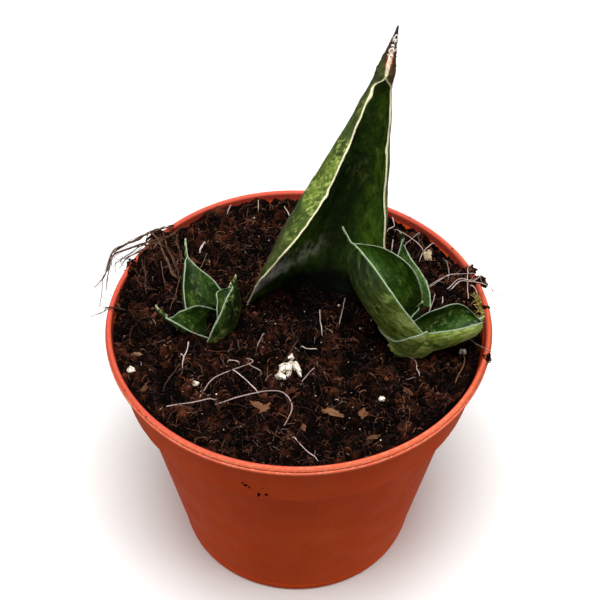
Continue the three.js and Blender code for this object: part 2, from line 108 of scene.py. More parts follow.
# Knots of its margins: margin number, place along the leaf, swelling, reach and lean.
MAIN_KNOTS = [
    (0, 0.52, 0.5, 0.010, 0.3), (0, 0.72, 0.3, 0.012, -0.2), (0, 0.80, 1.0, 0.016, 0.3),
    (1, 0.66, 0.35, 0.012, 0.2), (0, 0.33, 0.4, 0.008, -0.2), (0, 0.857, 0.9, 0.014, 0.4),
    (1, 0.857, 0.7, 0.014, 0.3),
]
PUP_BLADE = dict(green_awn=0.55, dry_lag=0, core=1.8, edge=0.35, wave=0.2, waves=4, bead=0.44,
                 relief=0.12, rows=90, columns=38)
LEAF_KEYS = ("foot", "bend", "tip", "turn", "tilt", "twist", "curl", "skew", "half", "neck",
             "widest", "fullness", "awn", "awn_radius")
PUP_LEAVES = {
    "right_pup_leaf_side": (
        (27.5, -8.6, 80), (44.9, -19.9, 101.3), (56.7, -7.1, 100.2), 51.6, 80.7, 11.7,
        (140.2, 135.2, 104.6), 0, 13.6, 0.51, 0.58, 3.53, 0.93, 0.6),
    "right_pup_leaf_outer": (
        (33.4, -8.2, 80), (22.8, -15.2, 113.7), (14.2, 18.8, 113.3), 16, 75.4, -6.9,
        (83.3, 118.5, 114.8), -0.15, 20.1, 0.31, 0.56, 1.95, 0.88, 0.8),
    "right_pup_leaf_back": (
        (39.7, 1.7, 80), (32.5, 9.9, 103.5), (33.1, 29.3, 102.1), -78.2, 2.4, 20.8,
        (47.4, 40, 91.5), -0.16, 7.7, 0.57, 0.44, 0.9, 0.91, 0.7),
    "right_pup_leaf_inner": (
        (35, -4.5, 80), (37.5, -4.5, 92), (38.5, -3.5, 103.2), 170, 5, 0,
        (120, 110, 90), 0, 6.8, 0.6, 0.35, 2.6, 0.93, 0.6),
    "left_pup_leaf_right": (
        (-23.1, 0.5, 80), (-16.7, -6.3, 93), (-18.1, -0.4, 111.2), 159.1, 9.9, -8.7,
        (86.1, 41.3, 87.4), 0.05, 12.5, 0.5, 0.29, 1.5, 0.95, 0.9),
    "left_pup_leaf_back": (
        (-25.1, 2.4, 80), (-35.2, 7.2, 96.9), (-35.6, 23.5, 104), -54.8, 12.9, -0.8,
        (91.9, 85.2, 99.7), -0.09, 11.3, 0.5, 0.34, 1.61, 0.83, 0.6),
    "left_pup_leaf_low": (
        (-25.5, 3, 80), (-38.4, -17.2, 103.4), (-43.6, -0.6, 98.4), 12.8, 34.5, 23,
        (102.3, 76.5, 81.5), 0.13, 9.5, 0.81, 0.18, 1.49, 0.76, 0.8),
    "left_pup_leaf_inner": (
        (-26.5, -1.5, 80), (-19.7, 2.1, 93.5), (-20.4, 9.1, 98.6), -108.2, -15.7, 0,
        (110, 95, 80), -0.3, 5.1, 0.6, 0.6, 4.75, 0.94, 0.6),
}

# The side leaf's sheath, drawn round the foot of the outer leaf. The margin is given as places
# across that leaf, from -1 to 1, and along it, from 0 to 1.
SHEATH = Sizes(outside=0.6, inside=0.05, bead=0.3, start=0.1, rows=30, columns=44)
SHEATH_MARGIN = [(-1.07, 0.318), (-1, 0.32), (-0.8, 0.325), (-0.53, 0.31), (-0.3, 0.36),
                 (0, 0.37), (0.4, 0.29)]

# Perlite lumps: place in plan, half-lengths along x and y, and height.
PERLITE = [
    (-2.9, -20.6, 3.9, 3.2, 2.4), (-1.6, -15.5, 1.1, 1.5, 1.2), (-49.5, -22.4, 1.5, 1.2, 1.1),
    (-30.2, -26.4, 1.2, 1, 0.9), (25, -33, 1, 1, 0.9), (50.6, -13.4, 1.3, 1, 1),
    (43, 29.4, 1.7, 2.4, 1.5),
]
PERLITE_SCALE = 0.8
PERLITE_SUNK = 0.3
PERLITE_RELIEF = Sizes(height=0.16, x=5, y=4, z=3)
# The lump that is a tan husk, by its number.
HUSKS = [7]
# The broken pieces of the first lump: x, y, half-length, half-width, height and turn in degrees.
SHARDS = [
    (-4.4, -21.2, 2.6, 0.9, 1.7, 72), (-4.5, -23.4, 1.3, 0.9, 1.1, 150),
    (-2.4, -21, 2.3, 1, 1.9, 92), (-2.4, -19, 2.2, 0.8, 1.4, 8),
    (0.1, -20.8, 2.5, 0.85, 1.5, 116), (-5.4, -22.8, 0.9, 0.5, 0.8, 20),
]
# Flat bits of bark on the soil: x, y, length, width, turn in degrees and tint.
FLAKES = [
    (-11.4, -35.6, 4.2, 1.7, -28, 0.58), (-9.2, -37, 3, 1.4, 40, 0.6),
    (11.2, -38.6, 5.2, 1.8, -24, 0.62), (8.8, -37.4, 2.6, 1.2, 20, 0.5),
    (19.4, -38.8, 2.6, 2, 70, 0.55), (-48.4, -15.8, 2.6, 0.9, 5, 0.7),
    (-1.8, -29.4, 3.6, 1.6, 30, 0.32), (-45, -29, 2.4, 1.2, 60, 0.5), (33, -30, 3, 1.3, -50, 0.45),
    (-26, 12, 2.6, 1.2, 15, 0.5), (-34, 27, 3, 1.3, -35, 0.4), (22, -47, 2.8, 1.1, 12, 0.5),
    (2, -44, 2, 1.2, 80, 0.55),
]

# Root strands over the rim: radius, thinner companions, then places.
LEFT_STRANDS = [
    (0.24, 9, [(-41, 40.6, 94.6), (-47, 36, 96.2), (-53.8, 30.1, 96.8), (-59.1, 26.1, 96.6),
               (-60.4, 19.9, 95.8), (-62, 15.5, 94.5), (-65, 13.8, 92)]),
    (0.22, 8, [(-37, 41.6, 93.5), (-43.5, 35.1, 94.5), (-54.7, 27.2, 96.4), (-59, 24.2, 96.4),
               (-60.2, 18, 95.5), (-61, 12.4, 92)]),
    (0.2, 6, [(-38.9, 39.1, 93), (-45.5, 32.1, 94.8), (-54.5, 24.3, 95.6), (-57, 19.8, 94.6)]),
    (0.13, 0, [(-61.8, 16, 95), (-62.2, 8, 91.5), (-62.8, 5.9, 90)]),
    (0.18, 2, [(-54, 3.6, 92.5), (-58.5, 2.8, 94.6), (-60.4, 1.2, 94), (-64.4, 1.7, 91)]),
    (0.18, 3, [(-48.1, 32.5, 95.5), (-56.3, 23, 96), (-58.3, 21.2, 95.5), (-57.6, 17.5, 94.5)]),
    (0.14, 0, [(-59.6, 2.9, 94.8), (-56.5, 1.6, 93)]),
]
RIGHT_STRANDS = [
    (0.17, 1, [(48.2, 11.9, 92.6), (52, 14.1, 94.6), (56, 13.4, 95.6), (59.4, 16.4, 96)]),
    (0.15, 0, [(47.8, 12.8, 92.6), (52.1, 15, 94.8), (56.4, 12.9, 95.6), (60, 10.8, 96),
               (63.2, 9.3, 94.6), (64.4, 8.5, 93.4)]),
    (0.15, 1, [(42.2, 13.5, 93), (47.7, 16, 95), (55.1, 16, 96.2), (58, 15, 96)]),
    (0.1, 0, [(61.8, 10.2, 95), (61.6, 9.6, 93), (60.6, 10.1, 91.6)]),
    (0.13, 0, [(50.6, -7.5, 93.2), (55, -12.4, 93.8), (58.3, -15.8, 94.5), (60, -17.4, 94.2)]),
]
# Roots that fan out from the rim over the soil on the left.
FAN_STRANDS = [
    (0.2, 7, [(-48.3, 35.8, 96), (-45.4, 32, 95.8), (-42.3, 24.8, 94.4), (-39.9, 18.8, 93.6),
              (-37.9, 16.9, 93.2)]),
    (0.18, 6, [(-44.2, 37.3, 95.4), (-42.7, 30.5, 95.6), (-39.1, 21.6, 94), (-37.1, 15.6, 93)]),
    (0.16, 3, [(-39.8, 35.8, 94.4), (-38.4, 29.6, 94), (-37.3, 23.4, 93.2)]),
    (0.2, 1, [(-37.1, 17.6, 93.6), (-38.2, 10.8, 93.4), (-39.6, 2.9, 93)]),
    (0.12, 3, [(-50, 24, 94.6), (-48.4, 17, 93.6), (-47.6, 10, 93)]),
]
# Fibres that lie on the soil: radius, then places in plan.
PALE_FIBRES = [
    (0.15, [(-40.6, -36.7), (-35.2, -35), (-29.4, -33.7), (-23.6, -32.2)]),
    (0.17, [(-23.7, -33.9), (-17.8, -32), (-11.7, -29.8), (-8.4, -29.4), (-4.9, -30.1),
            (-2.8, -31.5), (-1.6, -33.5), (-1.4, -36), (-2.2, -39), (-3.6, -41.4)]),
    (0.15, [(-28.2, -29.8), (-24.7, -24.8), (-19.9, -21.6), (-13.7, -18.8), (-13.4, -17.8),
            (-14.7, -17), (-16.8, -16.3)]),
    (0.14, [(-20, -20.4), (-15.3, -25.1), (-11.4, -29.1)]),
    (0.14, [(-1.5, -46.7), (2.2, -51.1), (6.1, -54.4)]), (0.14, [(7.3, 5.1), (7.3, -0.1), (7.7, -5.7)]),
    (0.13, [(15.6, 10.4), (14.5, 5.1), (13.3, -1)]), (0.16, [(-21.6, 56.4), (-22.6, 53.2), (-23.7, 49.1)]),
    (0.16, [(-4.8, 53.2), (-3.4, 50.6), (-2.2, 47.8)]), (0.14, [(-13.2, 56), (-13.1, 52.2)]),
    (0.34, [(-30.4, 35.2), (-32, 31.1)]), (0.15, [(-35.3, -15.2), (-34.2, -16.5), (-34.4, -20.1)]),
    (0.16, [(-32.8, -11.5), (-33.3, -14.4), (-34.2, -16.5)]),
    (0.16, [(-21, -16.9), (-18.9, -17.1), (-17.1, -18.1)]),
    (0.14, [(-14.9, -18.5), (-13.4, -20.1), (-10.4, -21.7)]),
    (0.14, [(-9.8, -5.2), (-10.9, -7.8), (-12.1, -11.3)]),
    (0.14, [(1.3, -10.7), (3.2, -11.9), (6.7, -12.4)]), (0.14, [(5.5, -20.5), (4, -22.9), (1.2, -26.9)]),
    (0.15, [(32.1, 48.2), (32.6, 43.7), (30.1, 41.7)]), (0.13, [(32.6, 43.2), (37.3, 37.2), (42, 31.6)]),
    (0.13, [(41.4, 39.7), (38.4, 36.5), (35.5, 33.8)]), (0.12, [(45.9, 35.3), (41.9, 31.4), (40.2, 28.2)]),
    (0.13, [(47.9, 26.6), (48.9, 23.3), (48.8, 16.4)]), (0.11, [(55.3, 22.9), (54.2, 13.7), (54.4, 8.7)]),
    (0.16, [(46.6, 10.5), (45.7, 6.1)]), (0.14, [(43.9, 11.4), (42.9, 7), (41.4, 3)]),
    (0.14, [(54.8, 13.2), (56.9, 11.9), (57, 9)]), (0.16, [(31.9, 37.7), (31.3, 32.4)]),
    (0.12, [(31.9, -15.1), (34.9, -16.4), (36.5, -18.8)]),
    (0.12, [(36.5, -18.8), (36.1, -20.8), (36.8, -23.2)]), (0.14, [(52.6, -6.8), (55.8, -6.4)]),
]
BROWN_FIBRES = [
    (0.14, [(-44.1, 24.5), (-43, 18.4), (-41.8, 13.9)]),
    (0.17, [(-34.8, -18.5), (-36.2, -22), (-37.7, -25.1), (-39.3, -29.2)]),
    (0.16, [(0.7, -7.8), (-2.9, -16.1), (-4.8, -20.2), (-6.4, -23.7)]),
    (0.12, [(-12.3, -13.9), (-11.2, -10.2), (-10.2, -7.2)]),
    (0.2, [(50.5, -12), (50.5, -19), (47, -26)]), (0.16, [(-29.2, 30.8), (-30.5, 24.2), (-31.6, 21.4)]),
]
# Scattered fibres: steps in each, and the height of its arch.
FIBRE = Sizes(steps=4, arch=0.8)
# Soil that lies on the rim: place, spread along x, y and z, and the number of crumbs.
SPILLS = [
    (-44.5, 35, 94.2, 4.5, 3.5, 0.9, 260), (-53.5, 22, 93.8, 1.6, 3, 0.5, 90),
    (58.2, 15.4, 94.2, 1.5, 1.3, 0.9, 260), (56, 20, 94, 1.3, 1.8, 0.5, 90),
    (59.6, 12.6, 94.3, 0.7, 0.9, 0.4, 50), (57.6, -18, 93.8, 1, 1.6, 0.25, 60),
    (59, 3.2, 94, 0.9, 0.5, 0.15, 24), (-56, 4, 93.4, 0.8, 2.5, 0.3, 30),
]
# Crumbs stuck to the outside of the pot: angle in degrees, height and size.
STUCK = [
    (-105, 80, 1.8), (-104, 79, 1.2), (-106, 81, 1), (-101.2, 76, 2), (-98.8, 76.2, 1.8),
    (-51.5, 75, 2), (-50.4, 76.2, 1.2), (-51, 83, 0.6), (-50.6, 93.2, 0.9), (-52, 92.6, 0.8),
    (-49.4, 92, 0.7), (-137, 93.4, 0.6), (-140.3, 93, 0.7), (-148.6, 93.8, 0.6), (167.4, 94, 0.6),
    (172, 94, 0.6), (50, 94, 0.8), (30.5, 94, 0.7), (-35, 93, 0.6), (-28, 92.6, 0.5),
    (-120, 92, 0.4), (-100, 79.5, 0.7),
]
MOSS = Sizes(start=(56.4, 10.4), end=(57, -3.6), height=93.4, count=150, bow=1.4)
AWN_SHREDS = Sizes(count=13, first=0.05, last=0.105, turn=4.6, radius=0.17)


# ---------------------------------------- meshes

def mesh_object(name, points, faces, values=None, smooth=True):
    """A mesh object from points in millimetres, arrays of faces, and named values per point."""
    mesh = bpy.data.meshes.new(name)
    corners = np.concatenate([np.asarray(f, np.int32).ravel() for f in faces])
    sizes = np.concatenate([np.full(len(f), np.asarray(f).shape[1], np.int32) for f in faces])
    mesh.vertices.add(len(points))
    mesh.vertices.foreach_set("co", (np.asarray(points) * MM).astype(np.float32).ravel())
    mesh.loops.add(len(corners))
    mesh.loops.foreach_set("vertex_index", corners)
    mesh.polygons.add(len(sizes))
    starts = np.concatenate([[0], np.cumsum(sizes)[:-1]]).astype(np.int32)
    mesh.polygons.foreach_set("loop_start", starts)
    mesh.polygons.foreach_set("use_smooth", np.full(len(sizes), smooth))
    mesh.update(calc_edges=True)
    for key, column in (values or {}).items():
        layer = mesh.attributes.new(key, "FLOAT", "POINT")
        layer.data.foreach_set("value", np.asarray(column, np.float32))
    thing = bpy.data.objects.new(name, mesh)
    bpy.context.scene.collection.objects.link(thing)
    return thing


def ring_faces(rings, count):
    """Quads between rings of points, each ring closed on itself."""
    i, j = np.meshgrid(np.arange(rings - 1), np.arange(count), indexing="ij")
    after = (j + 1) % count
    quads = [i * count + j, i * count + after, (i + 1) * count + after, (i + 1) * count + j]
    return np.stack([q.ravel() for q in quads], 1)


def cap_faces(ring, middle, flip=False):
    """Triangles from a closed ring of point numbers to a middle point."""
    after = np.roll(ring, -1)
    faces = np.stack([ring, after, np.full(len(ring), middle)], 1)
    return faces[:, ::-1] if flip else faces


def shell_faces(rings, count):
    """Faces of a row of rings that is closed at its ends by the two points after the last ring."""
    ring, last = np.arange(count), rings * count
    return [ring_faces(rings, count), cap_faces(ring, last, flip=True),
            cap_faces(ring + last - count, last + 1)]


def unit(vectors):
    return vectors / np.linalg.norm(vectors, axis=-1, keepdims=True)


def smoothstep(x, low, high):
    x = np.clip((x - low) / (high - low), 0, 1)
    return x * x * (3 - 2 * x)


def bell(x, y, at_x, at_y, reach):
    """1 at a place in plan, and fading round it."""
    return np.exp(-((x - at_x) ** 2 + (y - at_y) ** 2) / reach ** 2)


def swung(x, y, degrees):
    """Plan places turned about the origin."""
    turn = math.radians(degrees)
    return x * math.cos(turn) - y * math.sin(turn), x * math.sin(turn) + y * math.cos(turn)


def smooth_path(points, steps):
    """A Catmull-Rom curve through the points."""
    p = np.asarray(points, float)
    p = np.vstack([2 * p[0] - p[1], p, 2 * p[-1] - p[-2]])
    spans = len(p) - 3
    u = np.linspace(0, spans, steps + 1)
    k = np.minimum(u.astype(int), spans - 1)
    f = (u - k)[:, None]
    a, b, c, d = p[k], p[k + 1], p[k + 2], p[k + 3]
    return 0.5 * (2 * b + (c - a) * f + (2 * a - 5 * b + 4 * c - d) * f ** 2
                  + (3 * b - a - 3 * c + d) * f ** 3)


def tube(path, radii, sides):
    """Points and triangles of a closed round strand with pointed ends."""
    path = np.asarray(path, float)
    count = len(path)
    radii = np.broadcast_to(np.asarray(radii, float), count)
    along = unit(np.gradient(path, axis=0))
    start = np.array([0.0, 0.0, 1.0]) if abs(along[0, 2]) < 0.9 else np.array([1.0, 0.0, 0.0])
    side = np.cross(along[0], start)
    angles = (np.arange(sides) * 2 * math.pi / sides)[:, None]
    rings = []
    for centre, way, radius in zip(path, along, radii):
        side = unit(side - way * side.dot(way))
        other = np.cross(way, side)
        rings.append(centre + radius * (np.cos(angles) * side + np.sin(angles) * other))
    ends = [path[:1] - along[:1] * radii[0], path[-1:] + along[-1:] * radii[-1]]
    quads, *caps = shell_faces(count, sides)
    return np.vstack(rings + ends), np.vstack([quads[:, [0, 1, 2]], quads[:, [0, 2, 3]], *caps])


class Batch:
    """Many small closed shapes gathered into one mesh, each with its own tint from 0 to 1."""

    def __init__(self):
        self.points, self.faces, self.tints, self.count = [], [], [], 0

    def add(self, points, faces, tint):
        self.points.append(points)
        self.faces.append(faces + self.count)
        self.tints.append(np.full(len(points), tint))
        self.count += len(points)

    def build(self, name, smooth=True):
        return mesh_object(name, np.vstack(self.points), [np.vstack(self.faces)],
                           {"tint": np.concatenate(self.tints)}, smooth)


def ball(subdivisions):
    """Points and triangles of a ball of unit radius."""
    form = bmesh.new()
    bmesh.ops.create_icosphere(form, subdivisions=subdivisions, radius=1)
    form.verts.index_update()
    points = [v.co.copy() for v in form.verts]
    faces = np.array([[v.index for v in f.verts] for f in form.faces])
    form.free()
    return points, faces


def lump_shapes(kinds, subdivisions, relief, frequency, seed):
    """Lumpy closed shapes of about unit radius, as points and triangles."""
    points, faces = ball(subdivisions)
    shapes = []
    for kind in range(kinds):
        shift = Vector((seed + 7.1 * kind, 3.3 * kind, 0))
        lump = [p * (1 + relief * noise.fractal(p * frequency + shift, 0.8, 2.1, 3)) for p in points]
        shapes.append((np.array(lump), faces))
    return shapes


def turned(points, rng):
    """Points turned by a random rotation."""
    w, x, y, z = unit(np.array([rng.gauss(0, 1) for _ in range(4)]))
    spin = np.array([
        [1 - 2 * (y * y + z * z), 2 * (x * y - z * w), 2 * (x * z + y * w)],
        [2 * (x * y + z * w), 1 - 2 * (x * x + z * z), 2 * (y * z - x * w)],
        [2 * (x * z - y * w), 2 * (y * z + x * w), 1 - 2 * (x * x + y * y)],
    ])
    return points @ spin.T


# ---------------------------------------- material building

def colour(text):
    """Linear colour from a #rrggbb string."""
    parts = [int(text[i:i + 2], 16) / 255 for i in (1, 3, 5)]
    linear = [c / 12.92 if c <= 0.04045 else ((c + 0.055) / 1.055) ** 2.4 for c in parts]
    return (*linear, 1.0)


class Value:
    """An output of a shader node. Arithmetic with it makes Math nodes."""

    def __init__(self, socket):
        self.socket, self.tree = socket, socket.id_data

    def __add__(self, other):
        return maths("ADD", self, other)

    def __sub__(self, other):
        return maths("SUBTRACT", self, other)

    def __rsub__(self, other):
        return maths("SUBTRACT", other, self)

    def __mul__(self, other):
        return maths("MULTIPLY", self, other)

    def __abs__(self):
        return maths("ABSOLUTE", self, 0)


def node(kind, inputs, output=0, tree=None, **settings):
    """An output of a new shader node, in the tree of its inputs where none is given."""
    tree = tree or next(value.tree for value in inputs.values() if isinstance(value, Value))
    made = tree.nodes.new("ShaderNode" + kind)
    for key, value in settings.items():
        setattr(made, key, value)
    for key, value in inputs.items():
        if isinstance(value, Value):
            tree.links.new(value.socket, made.inputs[key])
        else:
            made.inputs[key].default_value = value
    return Value(made.outputs[output])


def maths(operation, first, second):
    return node("Math", {0: first, 1: second}, operation=operation)


def mixed(share, first, second):
    return node("Mix", {0: share, 6: first, 7: second}, 2, data_type="RGBA")


def spread(value, low, high, to_low=0.0, to_high=1.0):
    """Value mapped smoothly from low..high to to_low..to_high, and held there."""
    names = ["Value", "From Min", "From Max", "To Min", "To Max"]
    inputs = dict(zip(names, (value, low, high, to_low, to_high)))
    return node("MapRange", inputs, interpolation_type="SMOOTHSTEP")


def ramp(value, stops):
    made = node("ValToRGB", {"Fac": value})
    elements = made.socket.node.color_ramp.elements
    while len(elements) < len(stops):
        elements.new(0.5)
    for element, (position, shade) in zip(elements, stops):
        element.position = position
        element.color = colour(shade)
    return made


def stretched(vector, x, y, z):
    return node("VectorMath", {0: vector, 1: (x, y, z)}, operation="MULTIPLY")


def clouds(vector, size, detail=4.0, roughness=0.55, distortion=0.0):
    """Noise whose features are about size millimetres."""
    return node("TexNoise", {"Vector": vector, "Scale": 1 / size, "Detail": detail,
                             "Roughness": roughness, "Distortion": distortion})


def bumped(height, depth, normal=None):
    """A normal with relief of a depth in millimetres, over another normal where there is one."""
    under = {} if normal is None else {"Normal": normal}
    return node("Bump", {"Height": height, "Distance": depth * MM, "Strength": 1.0, **under})


class Skin:
    """A new material. base, its colour so far, is set first and then covered in layers."""

    def __init__(self, name, **fixed):
        self.material = bpy.data.materials.new(name)
        self.material.use_nodes = True
        self.tree = self.material.node_tree
        self.shader = self.tree.nodes["Principled BSDF"]
        for key, value in fixed.items():
            self.shader.inputs[key.replace("_", " ")].default_value = value

    def stored(self, name):
        """A value stored at the mesh's points."""
        return node("Attribute", {}, "Fac", self.tree, attribute_name=name)

    def places(self):
        """Object coordinates in millimetres."""
        at = node("TexCoord", {}, "Object", self.tree)
        return node("VectorMath", {0: at, "Scale": 1 / MM}, operation="SCALE")

    def layer(self, share, shade):
        """Lays a shade, a #rrggbb string or a node's output, over a share of the colour."""
        self.base = mixed(share, self.base, colour(shade) if isinstance(shade, str) else shade)

    def finished(self, gloss, normal):
        for key, value in {"Base Color": self.base, "Roughness": gloss, "Normal": normal}.items():
            self.tree.links.new(value.socket, self.shader.inputs[key])
        return self.material


# ---------------------------------------- materials

def plastic_material():
    """Dusty, scuffed plastic with a lip painted paler all round as a painted highlight and worn in patches,
    painted shade on the lip's right side, crest and inner side, and a painted shadow down the inner wall.
    """
    skin = Skin("terracotta_plastic", Specular_IOR_Level=0.06)
    at = skin.places()
    top, rim = POT.height, POT.rim
    height, sideways = [node("SeparateXYZ", {0: at}, axis) for axis in "ZX"]
    out = node("VectorMath", {0: stretched(at, 1, 1, 0)}, "Value", operation="LENGTH")
    skin.base = ramp(clouds(at, 26, 3), [(0.3, "#de4b10"), (0.5, "#e35014"), (0.72, "#ea581c")])
    streaks = clouds(stretched(at, 1, 1, 0.1), 2.6, 4)
    skin.layer(spread(streaks, 0.42, 0.75, 0, 0.25), "#cd4214")
    dust = clouds(at, 1.1, 5, 0.7)
    skin.layer(spread(dust, 0.62, 0.8, 0, 0.25), "#ee7a50")
    scuff = clouds(stretched(at, 1, 1, 0.45), 7, 6, 0.75, 1.2)
    skin.layer(spread(scuff, 0.62, 0.7, 0, 0.3), "#b93a12")
    soiled = clouds(at, 0.8, 4, 0.65, 0.6)
    skin.layer(spread(soiled, 0.72, 0.78, 0, 0.5), "#5a2414")
    # The whole lip is painted paler, a painted highlight; worn patches are paler still.
    lip = spread(height, top - 3.2, top - 2.8)
    skin.layer(lip * 0.45, "#f4876a")
    worn = clouds(stretched(at, 1, 1, 3), 1.4, 4, 0.7)
    skin.layer(spread(worn, 0.45, 0.65, 0, 0.6) * lip, "#f59a7c")
    # Painted shade: the right side of the lip is darker.
    skin.layer(spread(sideways, 46, 57, 0, 0.54) * lip, "#9a4228")
    # Painted shade on the crest of the lip, to tone down its lit top.
    skin.layer(spread(height, top - 0.5, top - 0.1, 0, 0.3), "#b8441c")
    # Painted shade on the inner side of the lip, and below it a painted shadow down the inner wall.
    inside = spread(out, rim - 0.5, rim - 1.1)
    skin.layer(inside * spread(height, top - 3.6, top - 2.8, 0, 0.75), "#b8463a")
    wall = spread(out, rim - 1.2, rim - 1.7) * spread(height, top - 0.5, top - 1.1, 0, 0.8)
    skin.layer(wall * spread(height, top - 3.1, top - 2.9), "#6e1c0c")
    furrow = abs(height - (top - POT.groove))
    skin.layer(spread(furrow, 0.3, 0.1) * spread(dust, 0.4, 0.56, 0, 0.4), "#5a2216")
    turned_lines = clouds(stretched(at, 0.02, 0.02, 1), 0.7, 2)
    normal = bumped(turned_lines, 0.02, bumped(clouds(at, 0.35, 3), 0.012))
    return skin.finished(spread(clouds(at, 9, 4), 0.3, 0.7, 0.38, 0.52), normal)


def soil_material(name, stops, size):
    """Crumbly matter: stops shade it from its tint and noise of that size."""
    skin = Skin(name, Specular_IOR_Level=0.03)
    at = skin.places()
    patch = clouds(at, size, 5, 0.65)
    fine = clouds(at, size * 0.2, 4, 0.7)
    skin.base = ramp(skin.stored("tint") * 0.6 + (patch + fine) * 0.22, stops)
    return skin.finished(spread(fine, 0.3, 0.7, 0.7, 0.98), bumped(fine, 0.12))


def fibre_material(name, stops):
    skin = Skin(name, Specular_IOR_Level=0.2)
    at = skin.places()
    patch = clouds(at, 2.2, 3)
    skin.base = ramp(skin.stored("tint") * 0.75 + patch * 0.25, stops)
    return skin.finished(spread(patch, 0.3, 0.7, 0.5, 0.75), bumped(clouds(at, 0.25, 3), 0.04))


def perlite_material(name, stops):
    skin = Skin(name, Specular_IOR_Level=0.3)
    at = skin.places()
    pits = node("TexVoronoi", {"Vector": at, "Scale": 2.4}, "Distance")
    dirt = clouds(at, 1.3, 5, 0.7)
    skin.base = ramp(dirt, stops)
    normal = bumped(pits, 0.25, bumped(clouds(at, 0.3, 3), 0.08))
    return skin.finished(spread(dirt, 0.3, 0.7, 0.85, 0.65), normal)


def leaf_material(name, look):
    """Leaf skin, painted by the values that are stored at the leaf's points."""
    look = Sizes(**look)
    skin = Skin(name, Specular_IOR_Level=look.shine, Coat_Weight=look.coat, Coat_Roughness=0.3)
    across, along, inner, margin, dried, ahead = [skin.stored(key) for key in LEAF_VALUES]
    outer = 1 - inner
    at = node("CombineXYZ", {"X": across, "Y": along, "Z": inner * 50})

    # Mottling, with painted shade down the middle of the inner channel, other tones near the foot of the
    # outer face, and a painted shadow at the foot of the inner face.
    broad = clouds(stretched(at, 1, 0.6, 1), look.mottle, 5, 0.66, 0.5)
    cells = clouds(stretched(at, 1, 0.7, 1), look.cell, 4, 0.7)
    tone = broad * 0.66 + cells * 0.34
    skin.base = mixed(inner, ramp(tone, look.outer), ramp(tone, look.inner))
    streak = clouds(stretched(at, 1, 0.14, 1), look.streak, 4, 0.65)
    skin.layer(spread(streak, 0.45, 0.75, 0, look.streaking), look.pale)
    band = clouds(stretched(at, 0.5, 1, 1), look.band, 4, 0.62, 0.8)
    skin.layer(spread(band, 0.5, 0.66, 0, 0.5), look.deep)
    # Painted shade down the middle of the inner channel, in the deep colour that also paints the bands.
    middle = spread(abs(across - look.centre), 0, look.centre_reach, 0.8, 0)
    skin.layer(middle * inner * spread(along, *look.centre_end), look.deep)
    wavy = along + broad * 8
    # Near the foot the outer face takes the outer_low tones: lighter on the pups, a painted light from
    # below; darker on the tall leaf.
    skin.layer(spread(wavy, *look.outer_foot) * outer, ramp(tone, look.outer_low))
    # A painted shadow on the inner face at the foot, where the blade goes down into the soil; on the tall
    # leaf it slants across and spares the left side.
    low = spread(wavy - across * look.foot_slant, *look.inner_foot) * inner
    skin.layer(low * spread(across, *look.inner_foot_side), look.inner_foot_shade)

    # Pale flecks, a painted sheen along a slanting path at the foot, and the dull and rusty end.
    fleck = clouds(stretched(at, 1, 0.55, 1), look.fleck, 4, 0.7)
    blotch = spread(clouds(at, look.blotch, 3, 0.6, 0.6), 0.48, 0.6)
    patches = blotch * spread(fleck, 0.47, 0.6, 0, 0.75)
    flecks = maths("MAXIMUM", patches, spread(fleck, 0.68, 0.74, 0, 0.8))
    flecks = flecks * (1 - inner * look.inner_flecks_off)
    skin.layer(flecks * spread(along, *look.fleck_end), look.fleck_shade)
    # A painted highlight: a pale sheen on the inner face, whitest near the foot.
    bloom = spread(abs(along - across * 0.7 - 30.5), 6.5, 0.5) * spread(along, 50, 30)
    bloom = bloom * spread(streak * cells, 0.15, 0.34) * spread(across, 4, -8)
    sheen_colour = mixed(spread(along, 17, 25), colour("#f6f3e8"), colour("#a4ac94"))
    skin.layer(bloom * inner * look.bloom, sheen_colour)
    skin.layer(spread(ahead, *look.dusk) * outer, look.dusk_shade)
    rust = spread(ahead, *look.rust) * outer * spread(cells, 0.36, 0.56, 0.3, 1)
    skin.layer(rust * spread(across, -2, 2.5, 0.3, 1), "#4a2a18")

    # The dried awn, with its torn seam and dark tip, and the pale line of the margin.
    wander = clouds(stretched(at, 0.2, 1, 1), 1.6, 3)
    reach, line = margin + (wander - 0.5) * 0.4, look.line
    skin.layer(spread(reach, line * 4, line * 1.2, 0, 0.5), look.margin_glow)
    cork = clouds(at, 0.7, 4, 0.7)
    husk = clouds(stretched(at, 1, 0.3, 1), 1.0, 4, 0.7)
    seam = margin + husk * 1.2
    husk = mixed(spread(seam, 1.05, 1.2), ramp(husk, look.husk), colour(look.seam_edge))
    husk = mixed(spread(seam, 1.3, 1.8), husk, ramp(cork, look.rind))
    tip = spread(ahead, *look.tip)
    skin.layer(dried, mixed(tip, husk, ramp(cork, look.tip_shade)))
    edging = spread(reach, line * 1.25, line * 0.7) * (1 - dried * spread(seam, 0.4, 0.9, 0.2, 1))
    skin.layer(edging * (1 - tip), ramp(cork, look.margin))
    gloss = spread(broad, 0.3, 0.7, look.gloss, look.gloss + 0.14) + dried * 0.3
    ribs = clouds(stretched(at, 1, 0.06, 1), 0.55, 2)
    return skin.finished(gloss, bumped(ribs, 0.03, bumped(cells, 0.12, bumped(broad, 0.35))))


def tones(*shades):
    """Stops for a leaf's dark, middle and pale patches."""
    return list(zip((0.36, 0.5, 0.64), shades))
